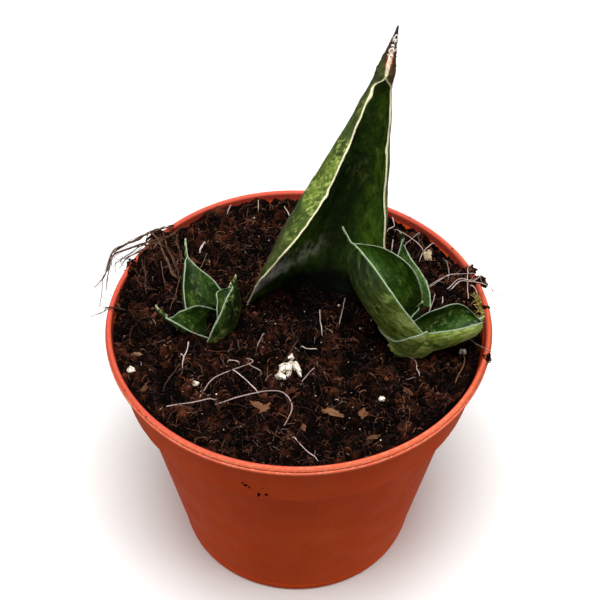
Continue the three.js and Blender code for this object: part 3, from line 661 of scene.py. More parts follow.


# Lengths are in millimetres. Where there are four numbers, or two, they are those of spread().
# In these looks the centre keys place the painted shade in the channel, the inner foot keys the painted
# shadow at the foot, and the sheen keys the painted highlight at the foot.
MAIN_LOOK = dict(
    coat=0.02, shine=0.16, gloss=0.46, mottle=11, cell=1.5, streak=2.2, streaking=0.3, band=12,
    blotch=9, fleck=1.3, pale="#5e7a30", deep="#0a1604", centre=4, centre_reach=13,
    inner=tones("#132604", "#2b4708", "#55741c"), outer=tones("#28380e", "#3d4f17", "#788a36"),
    centre_end=(80, 60, 0.15, 1), outer_foot=(62, 32, 0, 0.85),
    outer_low=tones("#16180a", "#292c13", "#484d26"), inner_foot=(31, 22, 0, 0.97),
    inner_foot_side=(-15, -6), inner_foot_shade="#010200", foot_slant=0.5,
    fleck_end=(25, 62, 0.2, 1), fleck_shade="#a3b05a", inner_flecks_off=0.8, bloom=1,
    rust=(22, 13, 0, 0.85), dusk=(46, 18, 0, 0.8), dusk_shade="#2d371a", line=0.16,
    margin_glow="#8f9a55", margin=[(0.35, "#cdb684"), (0.5, "#efe6c0"), (0.7, "#fffae4")],
    husk=[(0.34, "#c48a6e"), (0.42, "#e8bca2"), (0.52, "#f6dccb"), (0.62, "#fff4e4")],
    seam_edge="#7c3018", rind=[(0.4, "#1e1a10"), (0.55, "#3a2c1c"), (0.7, "#6a5438")],
    tip=(8, 5), tip_shade=[(0.4, "#241a1c"), (0.6, "#463a3c"), (0.75, "#a48e80")])
PUP_LOOK = dict(
    coat=0.01, shine=0.12, gloss=0.48, mottle=4, cell=0.9, streak=1.2, streaking=0.3, band=5,
    blotch=4.5, fleck=0.9, pale="#4a661e", deep="#0a1a04", centre=0, centre_reach=3,
    inner=tones("#0c1f03", "#1f3a06", "#486318"), outer=tones("#050c02", "#0d1803", "#28380f"),
    centre_end=(999, 998), outer_foot=(38, 18, 0, 0.9),
    outer_low=[(0.4, "#36440f"), (0.5, "#70822e"), (0.6, "#b4c272")], inner_foot=(20, 10, 0, 0.8),
    inner_foot_side=(-99, -98), inner_foot_shade="#061002", foot_slant=0,
    fleck_end=(40, 24, 0.2, 1), fleck_shade="#6c7e3e", inner_flecks_off=0.35, bloom=0.0,
    rust=(1, 0, 0, 0), dusk=(1, 0, 0, 0), dusk_shade="#333f1c", line=0.15,
    margin_glow="#4c6a30", margin=[(0.35, "#7c9070"), (0.55, "#a2b294"), (0.7, "#c6d0ba")],
    husk=[(0.36, "#6e7a52"), (0.5, "#98a27c"), (0.68, "#c8c4ac")],
    seam_edge="#7a8258", rind=[(0.4, "#5e6a40"), (0.6, "#98a078")],
    tip=(0.3, 0), tip_shade=[(0.4, "#a89a70"), (0.6, "#d8ccb0")])
LEFT_PUP_LOOK = dict(
    PUP_LOOK, fleck_end=(999, 998), outer_foot=(24, 12, 0, 0.3), fleck_shade="#7f924c",
    inner=tones("#081602", "#182f05", "#3a5214"), inner_flecks_off=0.62)
# The side leaf's whole outer face takes its lighter outer_low tones, a painted light from below.
SIDE_LEAF_LOOK = dict(
    PUP_LOOK, fleck_end=(999, 998), outer_foot=(99, 98, 0, 0.85), fleck_shade="#9cae6c",
    outer_low=[(0.38, "#39480f"), (0.5, "#788a34"), (0.62, "#b8c676")],
    inner=tones("#0d2103", "#234208", "#466418"))
# The furled leaf deep in the right pup is painted nearly black all over: painted shade for the pocket it
# sits in.
SHADED_FURLED_LEAF_LOOK = dict(
    PUP_LOOK, outer=[(0.36, "#030802"), (0.64, "#0e1a05")], fleck_shade="#2c3a18",
    outer_low=[(0.38, "#050b02"), (0.62, "#16240a")], inner=[(0.36, "#030802"), (0.64, "#12200a")])


# ---------------------------------------- pot

def inner_radius(z):
    """Radius of the pot's inner wall at a height."""
    outside = [POT.foot, POT.body_top, POT.collar_foot]
    radii = [*(radius - POT.wall for radius in outside), POT.rim - POT.rim_width]
    return float(np.interp(z, [0, BODY_TOP, COLLAR_FOOT, POT.height], radii))


def outer_radius(z):
    """Radius of the outer face of the pot's collar and lip at a height."""
    top, rim = POT.height, POT.rim
    lip = top - POT.lip
    radii = [POT.collar_foot, POT.collar_top, rim, rim - 0.4, rim - 0.9]
    return float(np.interp(z, [COLLAR_FOOT, lip - 0.2, lip, top - 1.2, top], radii))


def bulge(angle):
    """How far the rim is pushed out at an angle, as a factor: it is out of round at the back left."""
    share, middle, reach = POT.bulge
    return 1 + share * np.exp(-((angle - middle) / reach) ** 2)


def rounded(corners, steps=4):
    """A profile whose corners, given as radius, height and rounding, are turned into curves."""
    spots = np.array([c[:2] for c in corners], float)
    profile = []
    for i, (here, (_, _, size)) in enumerate(zip(spots, corners)):
        if size == 0 or i in (0, len(corners) - 1):
            profile.append(here)
            continue
        ends = []
        for way in (spots[i - 1] - here, spots[i + 1] - here):
            ends.append(here + unit(way) * min(size, 0.45 * np.linalg.norm(way)))
        for u in np.linspace(0, 1, steps):
            profile.append((1 - u) ** 2 * ends[0] + 2 * u * (1 - u) * here + u * u * ends[1])
    return np.array(profile)


def make_pot():
    top, rim, foot, ring = POT.height, POT.rim, POT.foot, POT.foot_ring
    body, neck, collar = POT.body_top, POT.collar_foot, POT.collar_top
    lip, groove, inner = top - POT.lip, top - POT.groove, inner_radius(top)
    corners = [
        (0, ring, 0), (1.6, ring, 0.1), (1.8, ring - 0.5, 0.2), (2.6, ring - 0.5, 0.2),
        (2.9, ring, 0.2), (foot - 4.6, ring, 0.4), (foot - 3.8, 0, 0.4), (foot - 0.8, 0, 0.6),
        (foot, 0.8, 0.6), (foot + 0.45, 3.4, 0.3), (foot + 0.3, 3.8, 0.3),
        (body - 0.35, BODY_TOP - 2.4, 0.4), (body, BODY_TOP - 1.9, 0.5), (body + 0.1, BODY_TOP, 0.5),
        (neck - 0.6, BODY_TOP + 0.3, 0.5), (neck, COLLAR_FOOT, 0.7), (collar, lip - 0.2, 0.3),
        (rim - 0.45, lip, 0.3), (rim, lip + 0.3, 0.35), (rim, groove - 0.25, 0.35),
        (rim - 0.35, groove, 0.2), (rim - 0.62, groove - 0.15, 0.12),
        (rim - 0.66, groove + 0.15, 0.1), (rim - 0.28, groove + 0.3, 0.15),
        (rim - 0.6, top - 0.35, 0.5), (rim - 0.95, top, 0.3), (inner + 0.4, top - 0.25, 0.3),
        (inner, top - 0.9, 0.4),
        *((inner_radius(height), height, 0.8) for height in (COLLAR_FOOT, BODY_TOP, FLOOR_TOP)),
        (0, FLOOR_TOP, 0),
    ]
    profile = rounded(corners)
    radii, heights = profile[1:-1, :1], profile[1:-1, 1:]
    angles = np.arange(POT.segments) * 2 * math.pi / POT.segments
    lean = smoothstep(heights, 30, top)
    sway = 1 + 0.0012 * np.sin(2 * angles + 0.6) + 0.0007 * np.sin(5 * angles)
    sway = sway + lean * (bulge(angles) - 1)
    points = np.stack([
        radii * np.cos(angles) * sway + lean * POT.lean[0],
        radii * np.sin(angles) * sway + lean * POT.lean[1],
        np.repeat(heights, len(angles), 1)], -1).reshape(-1, 3)
    points = np.vstack([points, [[0, 0, profile[0, 1]], [0, 0, profile[-1, 1]]]])
    pot = mesh_object("pot_shell", points, shell_faces(len(radii), len(angles)))
    drills = Batch()
    for i in range(DRAIN.count):
        x, y = swung(DRAIN.circle, 0, (i + 0.5) / DRAIN.count * 360)
        drills.add(*tube([(x, y, -2), (x, y, 8)], DRAIN.radius, DRAIN.sides), 0)
    drill = drills.build("drain_drill")
    cut = pot.modifiers.new("drain", "BOOLEAN")
    cut.object, cut.operation, cut.solver = drill, "DIFFERENCE", "EXACT"
    bpy.context.view_layer.objects.active = pot
    bpy.ops.object.modifier_apply(modifier=cut.name)
    bpy.data.objects.remove(drill)
    return pot


# ---------------------------------------- leaves

def leaf_axes(leaf, t):
    """The midrib's points and its along, face and side directions."""
    foot, bend, tip = [np.array(spot, float) for spot in (leaf.foot, leaf.bend, leaf.tip)]
    u = t[:, None]
    centre = (1 - u) ** 2 * foot + 2 * u * (1 - u) * bend + u * u * tip
    along = unit((1 - u) * (bend - foot) + u * (tip - bend))
    turn, tilt = math.radians(leaf.turn), math.radians(leaf.tilt)
    aim = np.array([math.cos(tilt) * math.cos(turn), math.cos(tilt) * math.sin(turn), math.sin(tilt)])
    face = unit(aim - along * (along @ aim)[:, None])
    side = np.cross(along, face)
    twist = np.radians(leaf.twist) * u
    face = face * np.cos(twist) + side * np.sin(twist)
    return centre, along, face, np.cross(along, face)


def leaf_section(leaf, t):
    """Rounding radius, curl in radians and how far the blade is closed into its awn."""
    rise = leaf.neck + (1 - leaf.neck) * np.sin(np.minimum(t / leaf.widest, 1) * math.pi / 2)
    past = np.clip((t - leaf.widest) / (leaf.awn - leaf.widest), 0, 1)
    blade = leaf.half * np.where(t < leaf.widest, rise, 1 - past ** leaf.fullness)
    left = np.clip((1 - t) / (1 - leaf.awn), 0, 1)
    cone = AWN.tip + (leaf.awn_radius - AWN.tip) * left ** AWN.taper
    shut = smoothstep(t, leaf.awn - AWN.blend, leaf.awn)
    low, middle, high = leaf.curl
    curl = low * (1 - t) * (1 - 2 * t) + middle * 4 * t * (1 - t) + high * t * (2 * t - 1)
    curl = np.radians(curl + (AWN.closed - curl) * shut)
    ripple = leaf.wave * np.sin(2 * math.pi * leaf.waves * t) * (1 - shut)
    width = np.hypot(blade, cone * curl) + ripple
    return width / curl, curl, shut


def curled(axes, radius, distance, angle):
    """Points at a distance and an angle from the middle of the leaf's rounding."""
    centre, _, face, side = axes
    return (centre + side * (distance * np.sin(angle))[:, None]
            + face * (radius - distance * np.cos(angle))[:, None])


def margin_beads(leaf, t, length, shut, seed, knots):
    """The two margins' thickness and their sideways shift at each row."""
    bead, shift = np.full((len(t), 2), leaf.bead), np.zeros((len(t), 2))
    for edge, where, size, reach, lean in knots:
        swell = np.exp(-((t - where) / reach) ** 2)
        bead[:, edge] += size * swell
        shift[:, edge] += lean * swell
    for edge in (0, 1):
        kinks = np.array([noise.noise(Vector((at / 4.5, 9.1 * edge, seed))) for at in length])
        grain = np.array([noise.noise(Vector((at / 1.3, 5.7 * edge, seed + 4))) for at in length])
        bead[:, edge] *= 1 + 0.35 * grain + 0.2 * kinks
        shift[:, edge] += 0.35 * leaf.bead * kinks
    return bead * (1 - 0.45 * shut)[:, None], shift


def make_leaf(name, leaf, seed, knots=()):
    """A closed leaf: outer face, margin bead, inner face and the other margin bead round each row."""
    t = np.linspace(0, 1, leaf.rows + 1)
    axes = leaf_axes(leaf, t)
    centre, along, face, _ = axes
    radius, curl, shut = leaf_section(leaf, t)
    length = np.concatenate([[0], np.cumsum(np.linalg.norm(np.diff(centre, axis=0), axis=1))])
    u = np.linspace(-1, 1, leaf.columns + 1)
    s = np.sign(u) * (1 - (1 - np.abs(u)) ** 1.5)
    core = leaf.core * (1 - LEAF_THINNING * t)
    bead, shift = margin_beads(leaf, t, length, shut, seed, knots)

    def column(across, within, reach=0.0, puff=0.0):
        """One point for each row: within is 0 on the outer face and 1 on the inner face."""
        sign = np.sign(across)
        skew = 1 + leaf.skew * sign * (1 - shut)
        pull = shift[:, 0 if across < 0 else 1] * abs(across) ** 30 * sign
        angle = across * skew * curl + (reach * sign + pull) / radius
        thick = leaf.edge + (core - leaf.edge) * (1 - across ** 2)
        inside = radius - thick + (AWN.hollow * radius - radius + thick) * shut
        inside = np.maximum(inside, AWN.hollow * radius)
        distance = radius + (inside - radius) * within + puff
        return curled(axes, radius, distance, angle)

    loop = [(across, 0, column(across, 0), 0) for across in s]
    for edge, sign, turns in ((1, 1, BEAD_TURNS), (0, -1, BEAD_TURNS[::-1])):
        for turn in turns:
            reach = bead[:, edge] / 2 * math.sin(turn)
            puff = bead[:, edge] / 2 * math.cos(turn) * 0.12
            within = (1 - math.cos(turn)) / 2
            loop.append((sign, within, column(sign, within, reach, puff), 1))
        if edge:
            loop += [(across, 1, column(across, 1), 0) for across in s[::-1]]
    rows, count = len(t), len(loop)
    points = np.stack([entry[2] for entry in loop], 1)
    across, within, beaded = [np.array([entry[i] for entry in loop]) for i in (0, 1, 3)]
    reach = (radius * curl)[:, None]
    to_margin = (1 - np.abs(across)) * reach * (1 - beaded) - 0.3 * beaded
    dry_from = leaf.awn + leaf.green_awn * (1 - leaf.awn)
    lag = leaf.dry_lag * np.clip(to_margin, 0, 4)
    dried = smoothstep(t[:, None] - lag, dry_from - 0.01, dry_from + 0.03)

    outward = unit(points - (centre + face * radius[:, None])[:, None, :])
    flat = points.reshape(-1, 3)
    hills = np.array([noise.noise(Vector(p / 7.5) + Vector((seed, 0, 0)))
                      + 0.5 * noise.noise(Vector(p / 2.6) + Vector((0, seed, 0))) for p in flat])
    wrinkles = np.array([noise.noise(Vector(p / 0.9) + Vector((0, 0, seed))) for p in flat])
    relief = leaf.relief * hills.reshape(rows, count) * (1 - shut)[:, None]
    relief += 0.22 * wrinkles.reshape(rows, count) * (shut * np.minimum(radius, 1.6))[:, None]
    points = points + outward * relief[..., None]

    ends = [centre[:1] + face[:1] * leaf.core / 2,
            centre[-1:] + face[-1:] * radius[-1] + along[-1:] * 0.5]
    stored = (across * reach, length[:, None], within, to_margin, dried, (length[-1] - length)[:, None])
    at_ends = ((0, 0), (0, length[-1]), (0, 1), (5, 0), (0, 1), (length[-1], 0))
    values = {key: np.append(np.broadcast_to(grid, (rows, count)), end)
              for key, grid, end in zip(LEAF_VALUES, stored, at_ends)}
    thing = mesh_object(name, np.vstack([points.reshape(-1, 3), *ends]), shell_faces(rows, count), values)
    form = bmesh.new()
    form.from_mesh(thing.data)
    bmesh.ops.recalc_face_normals(form, faces=form.faces)
    form.to_mesh(thing.data)
    form.free()
    return thing


def make_sheath(name, leaf):
    """A thin sheath over the outer face of a leaf's foot: outer face, margin bead and inner face."""
    margin = np.array(SHEATH_MARGIN)
    size = math.dist(leaf.foot, leaf.bend) + math.dist(leaf.bend, leaf.tip)
    rings, stored = [], []
    for across in np.linspace(margin[0, 0], margin[-1, 0], SHEATH.columns):
        top = np.interp(across, margin[:, 0], margin[:, 1])
        rise = np.linspace(SHEATH.start, top, SHEATH.rows)
        t = np.concatenate([rise, top + SHEATH.bead / size * np.sin(BEAD_TURNS), rise[::-1]])
        within = np.concatenate([0 * rise, (1 - np.cos(BEAD_TURNS)) / 2, 1 + 0 * rise])
        radius, curl, _ = leaf_section(leaf, t)
        angle = across * (1 + leaf.skew * np.sign(across)) * curl
        distance = radius + SHEATH.outside + (SHEATH.inside - SHEATH.outside) * within
        rings.append(curled(leaf_axes(leaf, t), radius, distance, angle))
        to_margin = np.maximum(top - t, 0) * size
        stored.append((angle * radius, t * size, within, to_margin, 0 * t, 99 + 0 * t))
    points = np.vstack([*rings, rings[0].mean(0)[None], rings[-1].mean(0)[None]])
    values = {key: np.append(row, [1, 1]) for key, row in zip(LEAF_VALUES, np.hstack(stored))}
    return mesh_object(name, points, shell_faces(len(rings), len(rings[0])), values)


# ---------------------------------------- soil

def soil_height(x, y):
    """The height of the CAD soil: its level with its heaps, hollows and ripple."""
    z = SOIL.level + sum(height * bell(x, y, *heap) for *heap, height in SOIL_HEAPS)
    r = SOIL_RIPPLE
    straight = np.sin(x / r.x + r.shift_x) * np.cos(y / r.y + r.shift_y)
    return z + r.height * (straight + np.sin(x / r.slant_x - y / r.slant_y))


def ground(x, y):
    """The height of the fine soil surface: packed crumbs over the smooth form."""
    z = float(soil_height(x, y) + sum(height * bell(x, y, *bank) for *bank, height in SOIL_BANKS))
    for i, (size, height) in enumerate(SOIL_CRUMBLE):
        spot = Vector((x / size + 17 * i, y / size, 0.3 * i))
        spot += 0.35 * noise.noise_vector(spot * 0.7)
        z += height * (0.42 - noise.voronoi(spot)[0][0])
    return z + 0.5 * noise.noise(Vector((x / 3.1, y / 3.1, 5)))


def disc_grid(cells, radius):
    """A square grid bent into a disc, its cells nearly even."""
    a, b = np.meshgrid(np.linspace(-1, 1, cells + 1), np.linspace(-1, 1, cells + 1), indexing="ij")
    wide = np.abs(a) > np.abs(b)
    big, small = np.where(wide, a, b), np.where(wide, b, a)
    angle = math.pi / 4 * small / np.where(big == 0, 1, big)
    x, y = big * np.cos(angle) * radius, big * np.sin(angle) * radius
    return np.where(wide, x, y).ravel(), np.where(wide, y, x).ravel()


def make_soil():
    cells = SOIL.cells
    x, y = disc_grid(cells, SOIL.edge)
    out = 1 + (bulge(np.arctan2(y, x)) - 1) * (np.hypot(x, y) / SOIL.edge) ** 4
    x, y = x * out, y * out
    z = np.array([ground(a, b) for a, b in zip(x, y)])
    number = np.arange((cells + 1) ** 2).reshape(cells + 1, cells + 1)
    top = np.stack([number[:-1, :-1], number[1:, :-1], number[1:, 1:], number[:-1, 1:]], -1)
    border = np.concatenate([number[:, 0], number[-1, 1:], number[-2::-1, -1], number[0, -2:0:-1]])
    angles = np.arctan2(y[border], x[border])
    rings, walls, above, start = [], [], border, len(x)
    for height in (COLLAR_FOOT, BODY_TOP, SOIL.foot):
        r = inner_radius(height) - SOIL.gap
        rings.append(np.stack([r * np.cos(angles), r * np.sin(angles), np.full(len(angles), height)], 1))
        below = start + np.arange(len(border))
        start += len(border)
        walls.append(np.stack([above, below, np.roll(below, -1), np.roll(above, -1)], 1))
        above = below
    points = np.vstack([np.stack([x, y, z], 1), *rings, [[0, 0, SOIL.foot]]])
    tint = np.zeros(len(points))
    # The bed is tinted paler on its raised crumbs and darker in its hollows and pits, a painted shade.
    rise = z - soil_height(x, y)
    tint[:len(x)] = [(0.36 + 0.34 * up) * paleness_with_shadow(a, b) for a, b, up in zip(x, y, rise)]
    faces = [top.reshape(-1, 4), *walls, cap_faces(above, start, flip=True)]
    return mesh_object("soil_bed", points, faces, {"tint": np.clip(tint, 0, 1)})


def leaf_feet(leaves):
    """A search tree of the plan places where leaves pass the soil's surface."""
    spots = []
    for leaf in leaves:
        flat = np.zeros(len(leaf.data.vertices) * 3, np.float32)
        leaf.data.vertices.foreach_get("co", flat)
        points = flat.reshape(-1, 3) / MM
        spots.extend(points[(points[:, 2] > 88) & (points[:, 2] < 96)][::3])
    tree = KDTree(len(spots))
    for i, (x, y, _) in enumerate(spots):
        tree.insert((x, y, 0), i)
    tree.balance()
    return tree


def free_spot(rng, feet, clearance):
    """A random place on the soil that is clear of the leaves' feet."""
    while True:
        r, a = SOIL.scatter * math.sqrt(rng.random()), rng.random() * 2 * math.pi
        x, y = r * math.cos(a), r * math.sin(a)
        if feet.find((x, y, 0))[2] > clearance:
            return x, y


def paleness_with_shadow(x, y):
    """How pale the mix is round a place: about 1, and less in the painted shadow before the tall leaf."""
    return max(1 + 1.1 * noise.noise(Vector((x / 7, y / 7, 9))) - 0.8 * bell(x, y, *SOIL_PAINTED_SHADOW), 0.12)


def crumb_tint(rng, size=0.5, pale=1.0):
    """Most crumbs are dark, a few are pale, and large ones are never pale."""
    return min(0.06 + 0.94 * rng.random() ** 2 / (1 + 0.4 * size) * pale, 1)


def scatter_crumbs(name, count, sizes, subdivisions, feet, seed, slim=1.0, flat=1.0):
    batch, rng = Batch(), random.Random(seed)
    shapes = lump_shapes(9, subdivisions, 0.6, 1.3, seed)
    for _ in range(count):
        size = sizes[0] + (sizes[1] - sizes[0]) * rng.random() ** 2.2
        x, y = free_spot(rng, feet, size * 0.6 + 0.2)
        shape, faces = rng.choice(shapes)
        scale = (rng.uniform(0.8, 1.3), slim * rng.uniform(0.6, 1.1), flat * rng.uniform(0.5, 1))
        points = turned(shape * (size / 2 * np.array(scale)), rng)
        points = points + (x, y, ground(x, y) + size * rng.uniform(-0.05, 0.28))
        # Crumbs are tinted darker in the painted shadow before the tall leaf.
        batch.add(points, faces, crumb_tint(rng, size, paleness_with_shadow(x, y)))
    return batch.build(name, False)


def make_flakes(name, flakes, seed):
    """Flat bits of bark that lie on the soil."""
    batch, rng = Batch(), random.Random(seed)
    shapes = lump_shapes(5, 3, 0.95, 1.9, seed)
    for x, y, long, wide, turn, tint in flakes:
        shape, faces = rng.choice(shapes)
        a, b, c = (shape * (long / 2, wide / 2, 0.35)).T
        c = c + 0.1 * b * b + rng.uniform(-0.1, 0.1) * a + rng.uniform(0.1, 0.35) * b
        batch.add(np.stack([*swung(a, b, turn), c], 1) + (x, y, ground(x, y) + 0.9), faces, tint)
    return batch.build(name, False)


def spilled_crumbs(name, spills, stuck, seed):
    """Heaps of crumbs on the rim and single crumbs stuck to the outside of the pot."""
    batch, rng = Batch(), random.Random(seed)
    shapes = lump_shapes(9, 1, 0.6, 1.3, seed)
    cores = lump_shapes(3, 3, 0.8, 1.6, seed + 1)
    for x, y, z, wide, deep, high, count in spills:
        shape, faces = rng.choice(cores)
        batch.add(shape * (wide * 0.75, deep * 0.75, high * 0.8) + (x, y, z - 0.2), faces, 0.25)
        for _ in range(count):
            size = 0.35 + 1.2 * rng.random() ** 2
            a, b, c = [max(min(rng.gauss(0, 0.42), 0.8), -0.8) for _ in range(3)]
            drop = high * (0.4 * (a * a + b * b) + 0.1)
            shape, faces = rng.choice(shapes)
            scale = size / 2 * np.array([1.1, rng.uniform(0.5, 0.9), rng.uniform(0.4, 0.9)])
            spot = (x + a * wide * 1.4, y + b * deep * 1.4, z + c * high * 0.8 - drop)
            batch.add(turned(shape * scale, rng) + spot, faces, crumb_tint(rng))
    for angle, z, size in stuck:
        shape, faces = rng.choice(shapes)
        points = turned(shape * (size / 2, size / 3, size / 4), rng)
        batch.add(points + (*swung(outer_radius(z), 0, angle), z), faces, 0.15)
    return batch.build(name, False)


def fibre_path(rng, x, y, length, radius, rise):
    """A short bent line that lies on the ground from x, y."""
    steps, path = FIBRE.steps, []
    heading = rng.random() * 2 * math.pi
    bend = rng.gauss(0, 0.55) / steps
    arch = rng.random() * FIBRE.arch
    for i in range(steps + 1):
        u = i / steps
        height = ground(x, y) + radius + arch * math.sin(math.pi * u) + rise * u * length
        path.append((x, y, height))
        heading += bend + rng.gauss(0, 0.16)
        x += math.cos(heading) * length / steps
        y += math.sin(heading) * length / steps
        if math.hypot(x, y) > SOIL.edge - 0.4:
            break
    return path


def scatter_fibres(name, count, lengths, radii, feet, seed, tints=(0.1, 0.9), rise=0.0):
    batch, rng = Batch(), random.Random(seed)
    for _ in range(count):
        x, y = free_spot(rng, feet, 0.8)
        length = lengths[0] + (lengths[1] - lengths[0]) * rng.random() ** 1.6
        tilt = rise * max(rng.gauss(0, 1), 0)
        # Fibres are tinted darker in the painted shadow before the tall leaf.
        tint = min(rng.uniform(*tints) * paleness_with_shadow(x, y), 1)
        radius = rng.uniform(*radii)
        path = fibre_path(rng, x, y, length, radius, tilt)
        if len(path) > 2:
            batch.add(*tube(path, radius * np.linspace(1, 0.55, len(path)), 3), tint)
    return batch.build(name)


def laid_fibres(name, fibres, seed, lift, tints):
    """The long fibres that can be told apart in the photograph, laid over the crumbs."""
    batch, rng = Batch(), random.Random(seed)
    for radius, plan in fibres:
        flat = smooth_path([(x, y, 0) for x, y in plan], 22)
        path = []
        for (x, y, _), u in zip(flat, np.linspace(0, 1, len(flat))):
            sway = 0.25 * noise.noise(Vector((x / 3, y / 3, seed)))
            dip = -1.2 * (smoothstep(u, 0.12, 0) + smoothstep(u, 0.88, 1))
            path.append((x + sway, y - sway, float(soil_height(x, y)) + lift + dip + sway))
        thin = radius * (1 + 0.18 * np.sin(np.linspace(0, 11, len(path)) + radius * 40))
        batch.add(*tube(path, thin, 8), rng.uniform(*tints))
    return batch.build(name)


def make_strands(name, strands, seed, tints=(0.05, 0.6)):
    """Wiry root strands over the rim, each with thinner companions and side roots."""
    batch, rng = Batch(), random.Random(seed)
    for radius, companions, at in strands:
        for copy in range(companions + 1):
            path = smooth_path(at, 40)
            shift = Vector((9.7 * copy, 0, seed))
            sway = np.array([noise.noise_vector(Vector(p / 4.2) + shift) for p in path])
            path = path + (0.95 if copy else 0.35) * sway * (1, 1, 0.6)
            first = rng.randrange(0, 12) if copy else 0
            last = rng.randrange(26, 41) if copy else 41
            path = path[first:last]
            for point in path:
                if math.hypot(point[0], point[1]) < SOIL.edge:
                    point[2] = max(point[2], ground(point[0], point[1]) + 0.15)
            thick = radius * rng.uniform(0.35, 0.75) if copy else radius
            radii = thick * np.linspace(1, 0.5, len(path)) * (1 + 0.2 * sway[first:last, 0])
            batch.add(*tube(path, radii, 6), rng.uniform(*tints))
        for _ in range(companions + 1):
            spot = path[rng.randrange(3, len(path) - 3)].copy()
            way = unit(np.array([rng.gauss(0, 1), rng.gauss(0, 1), rng.gauss(0, 0.25)]))
            hair, length = [], rng.uniform(1.5, 4.5)
            for _ in range(7):
                hair.append(spot)
                way = unit(way + [rng.gauss(0, 0.3), rng.gauss(0, 0.3), rng.gauss(0, 0.12) - 0.06])
                spot = spot + way * length / 7
            batch.add(*tube(hair, np.linspace(0.1, 0.05, 7), 4), rng.uniform(0.1, 0.8))
    return batch.build(name)


def make_moss(name, seed):
    """Short hairs of moss along the inside of the rim."""
    batch, rng = Batch(), random.Random(seed)
    for _ in range(MOSS.count):
        u = rng.random()
        x, y = [a + (b - a) * u for a, b in zip(MOSS.start, MOSS.end)]
        x += MOSS.bow * (1 - (2 * u - 1) ** 2) + rng.gauss(0, 0.5)
        way = unit(np.array([rng.gauss(-0.5, 0.5), rng.gauss(0.1, 0.6), rng.uniform(0.5, 1.2)]))
        root = np.array([x, y, MOSS.height - rng.uniform(0.4, 1.6)])
        length = rng.uniform(0.8, 2.6)
        bend = np.array([rng.gauss(0, 0.3), rng.gauss(0, 0.3), -0.3])
        hair = [root + way * length * f + bend * length * f * f for f in np.linspace(0, 1, 5)]
        batch.add(*tube(hair, np.linspace(0.13, 0.05, 5), 5), rng.random())
    return batch.build(name)


def make_shreds(name, leaf, seed):
    """Papery curls on the dried awn."""
    batch, rng = Batch(), random.Random(seed)
    for _ in range(AWN_SHREDS.count):
        t = leaf.awn + np.array([rng.uniform(AWN_SHREDS.first, AWN_SHREDS.last)])
        centre, along, face, side = [row[0] for row in leaf_axes(leaf, t)]
        radius = leaf_section(leaf, t)[0][0]
        middle = centre + face * (2 * radius + 0.1) + side * rng.uniform(-0.6, 0.6) * radius
        ring, start, slope = rng.uniform(0.3, 0.65), rng.uniform(0, 6.3), rng.uniform(-0.3, 0.3)
        curl = [middle + side * ring * math.cos(start + a) + along * ring * math.sin(start + a) * 1.3
                + face * (slope * math.cos(a) - 0.06 * a) for a in np.linspace(0, AWN_SHREDS.turn, 16)]
        batch.add(*tube(curl, AWN_SHREDS.radius * np.linspace(1, 0.6, 16), 6), rng.random())
    return batch.build(name)


def make_perlite_lump(index, shards):
    """A lump of one or more broken pieces: x, y, half-length, half-width, height and turn in degrees."""
    points, faces = ball(4)
    batch, ripple = Batch(), PERLITE_RELIEF
    for i, (x, y, long, wide, high, turn) in enumerate(shards):
        base = float(soil_height(x, y)) + high * (1 - 2 * PERLITE_SUNK)
        lump = []
        for p in points:
            wobble = math.sin(ripple.x * p.x + index)
            wobble += math.sin(ripple.y * p.y + 2 * index) * math.cos(ripple.z * p.z)
            broken = noise.voronoi(p * 1.7 + Vector((index * 3.1, i, 0)))[0][0] - 0.45
            grit = noise.fractal(p * 3.6 + Vector((index, 2 + i, 0)), 0.6, 2.1, 4)
            scale = 1 + ripple.height * wobble + 0.3 * broken + 0.24 * grit
            a, b = swung(p.x * scale * long, p.y * scale * wide, turn)
            lump.append((x + a, y + b, base + p.z * scale * high))
        batch.add(np.array(lump), faces, 0)
    return batch.build(f"perlite_lump_{index + 1}")


# ---------------------------------------- the object

def place(thing, material, slot, *replaced):
    """Gives a piece its material and the root body, and hides the CAD nodes that it stands for. The slot is
    not used.
    """
    thing.data.materials.clear()
    thing.data.materials.append(material)
    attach(thing, "root")
    if replaced:
        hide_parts(*replaced)
    return thing


def pup_leaf(name):
    """The sizes of a pup's leaf."""
    return Sizes(**PUP_BLADE, **dict(zip(LEAF_KEYS, PUP_LEAVES[name])))


plastic = plastic_material()
peat = soil_material("peat", [(0.2, "#000000"), (0.4, "#0c0402"), (0.58, "#2c1309"), (0.82, "#502618")], 4)
crumb = soil_material("peat_crumb", [(0.14, "#000000"), (0.33, "#0d0502"), (0.48, "#2f150b"),
                                     (0.66, "#562f1e"), (0.88, "#7d5a46")], 1.6)
coir = fibre_material("coir", [(0.1, "#060201"), (0.36, "#220e06"), (0.66, "#4c2717"), (0.95, "#745039")])
husk = soil_material("husk", [(0.32, "#170a05"), (0.44, "#45241a"), (0.58, "#6d4a34"),
                              (0.76, "#9c7e62")], 0.9)
straw = fibre_material("straw", [(0.1, "#5c463e"), (0.5, "#9c857f"), (0.9, "#cfbcb4")])
root_skin = fibre_material("root_skin", [(0.1, "#1c100b"), (0.4, "#432c20"), (0.7, "#7a5c46"),
                                         (0.95, "#b39a7e")])
moss = fibre_material("moss", [(0.1, "#3d3412"), (0.5, "#7d7026"), (0.9, "#c2ae60")])
paper = fibre_material("dry_paper", [(0.1, "#d9b8a4"), (0.4, "#f1e4d6"), (0.9, "#fffaf0")])
white_grit = perlite_material("perlite_stone", [(0.36, "#5a4632"), (0.45, "#cbbba6"), (0.56, "#f6efe4")])
bark = perlite_material("bark_chip", [(0.34, "#4a3222"), (0.46, "#8a7458"), (0.58, "#c6b490")])
main_skin = leaf_material("main_leaf_skin", MAIN_LOOK)
right_skin = leaf_material("right_pup_skin", PUP_LOOK)
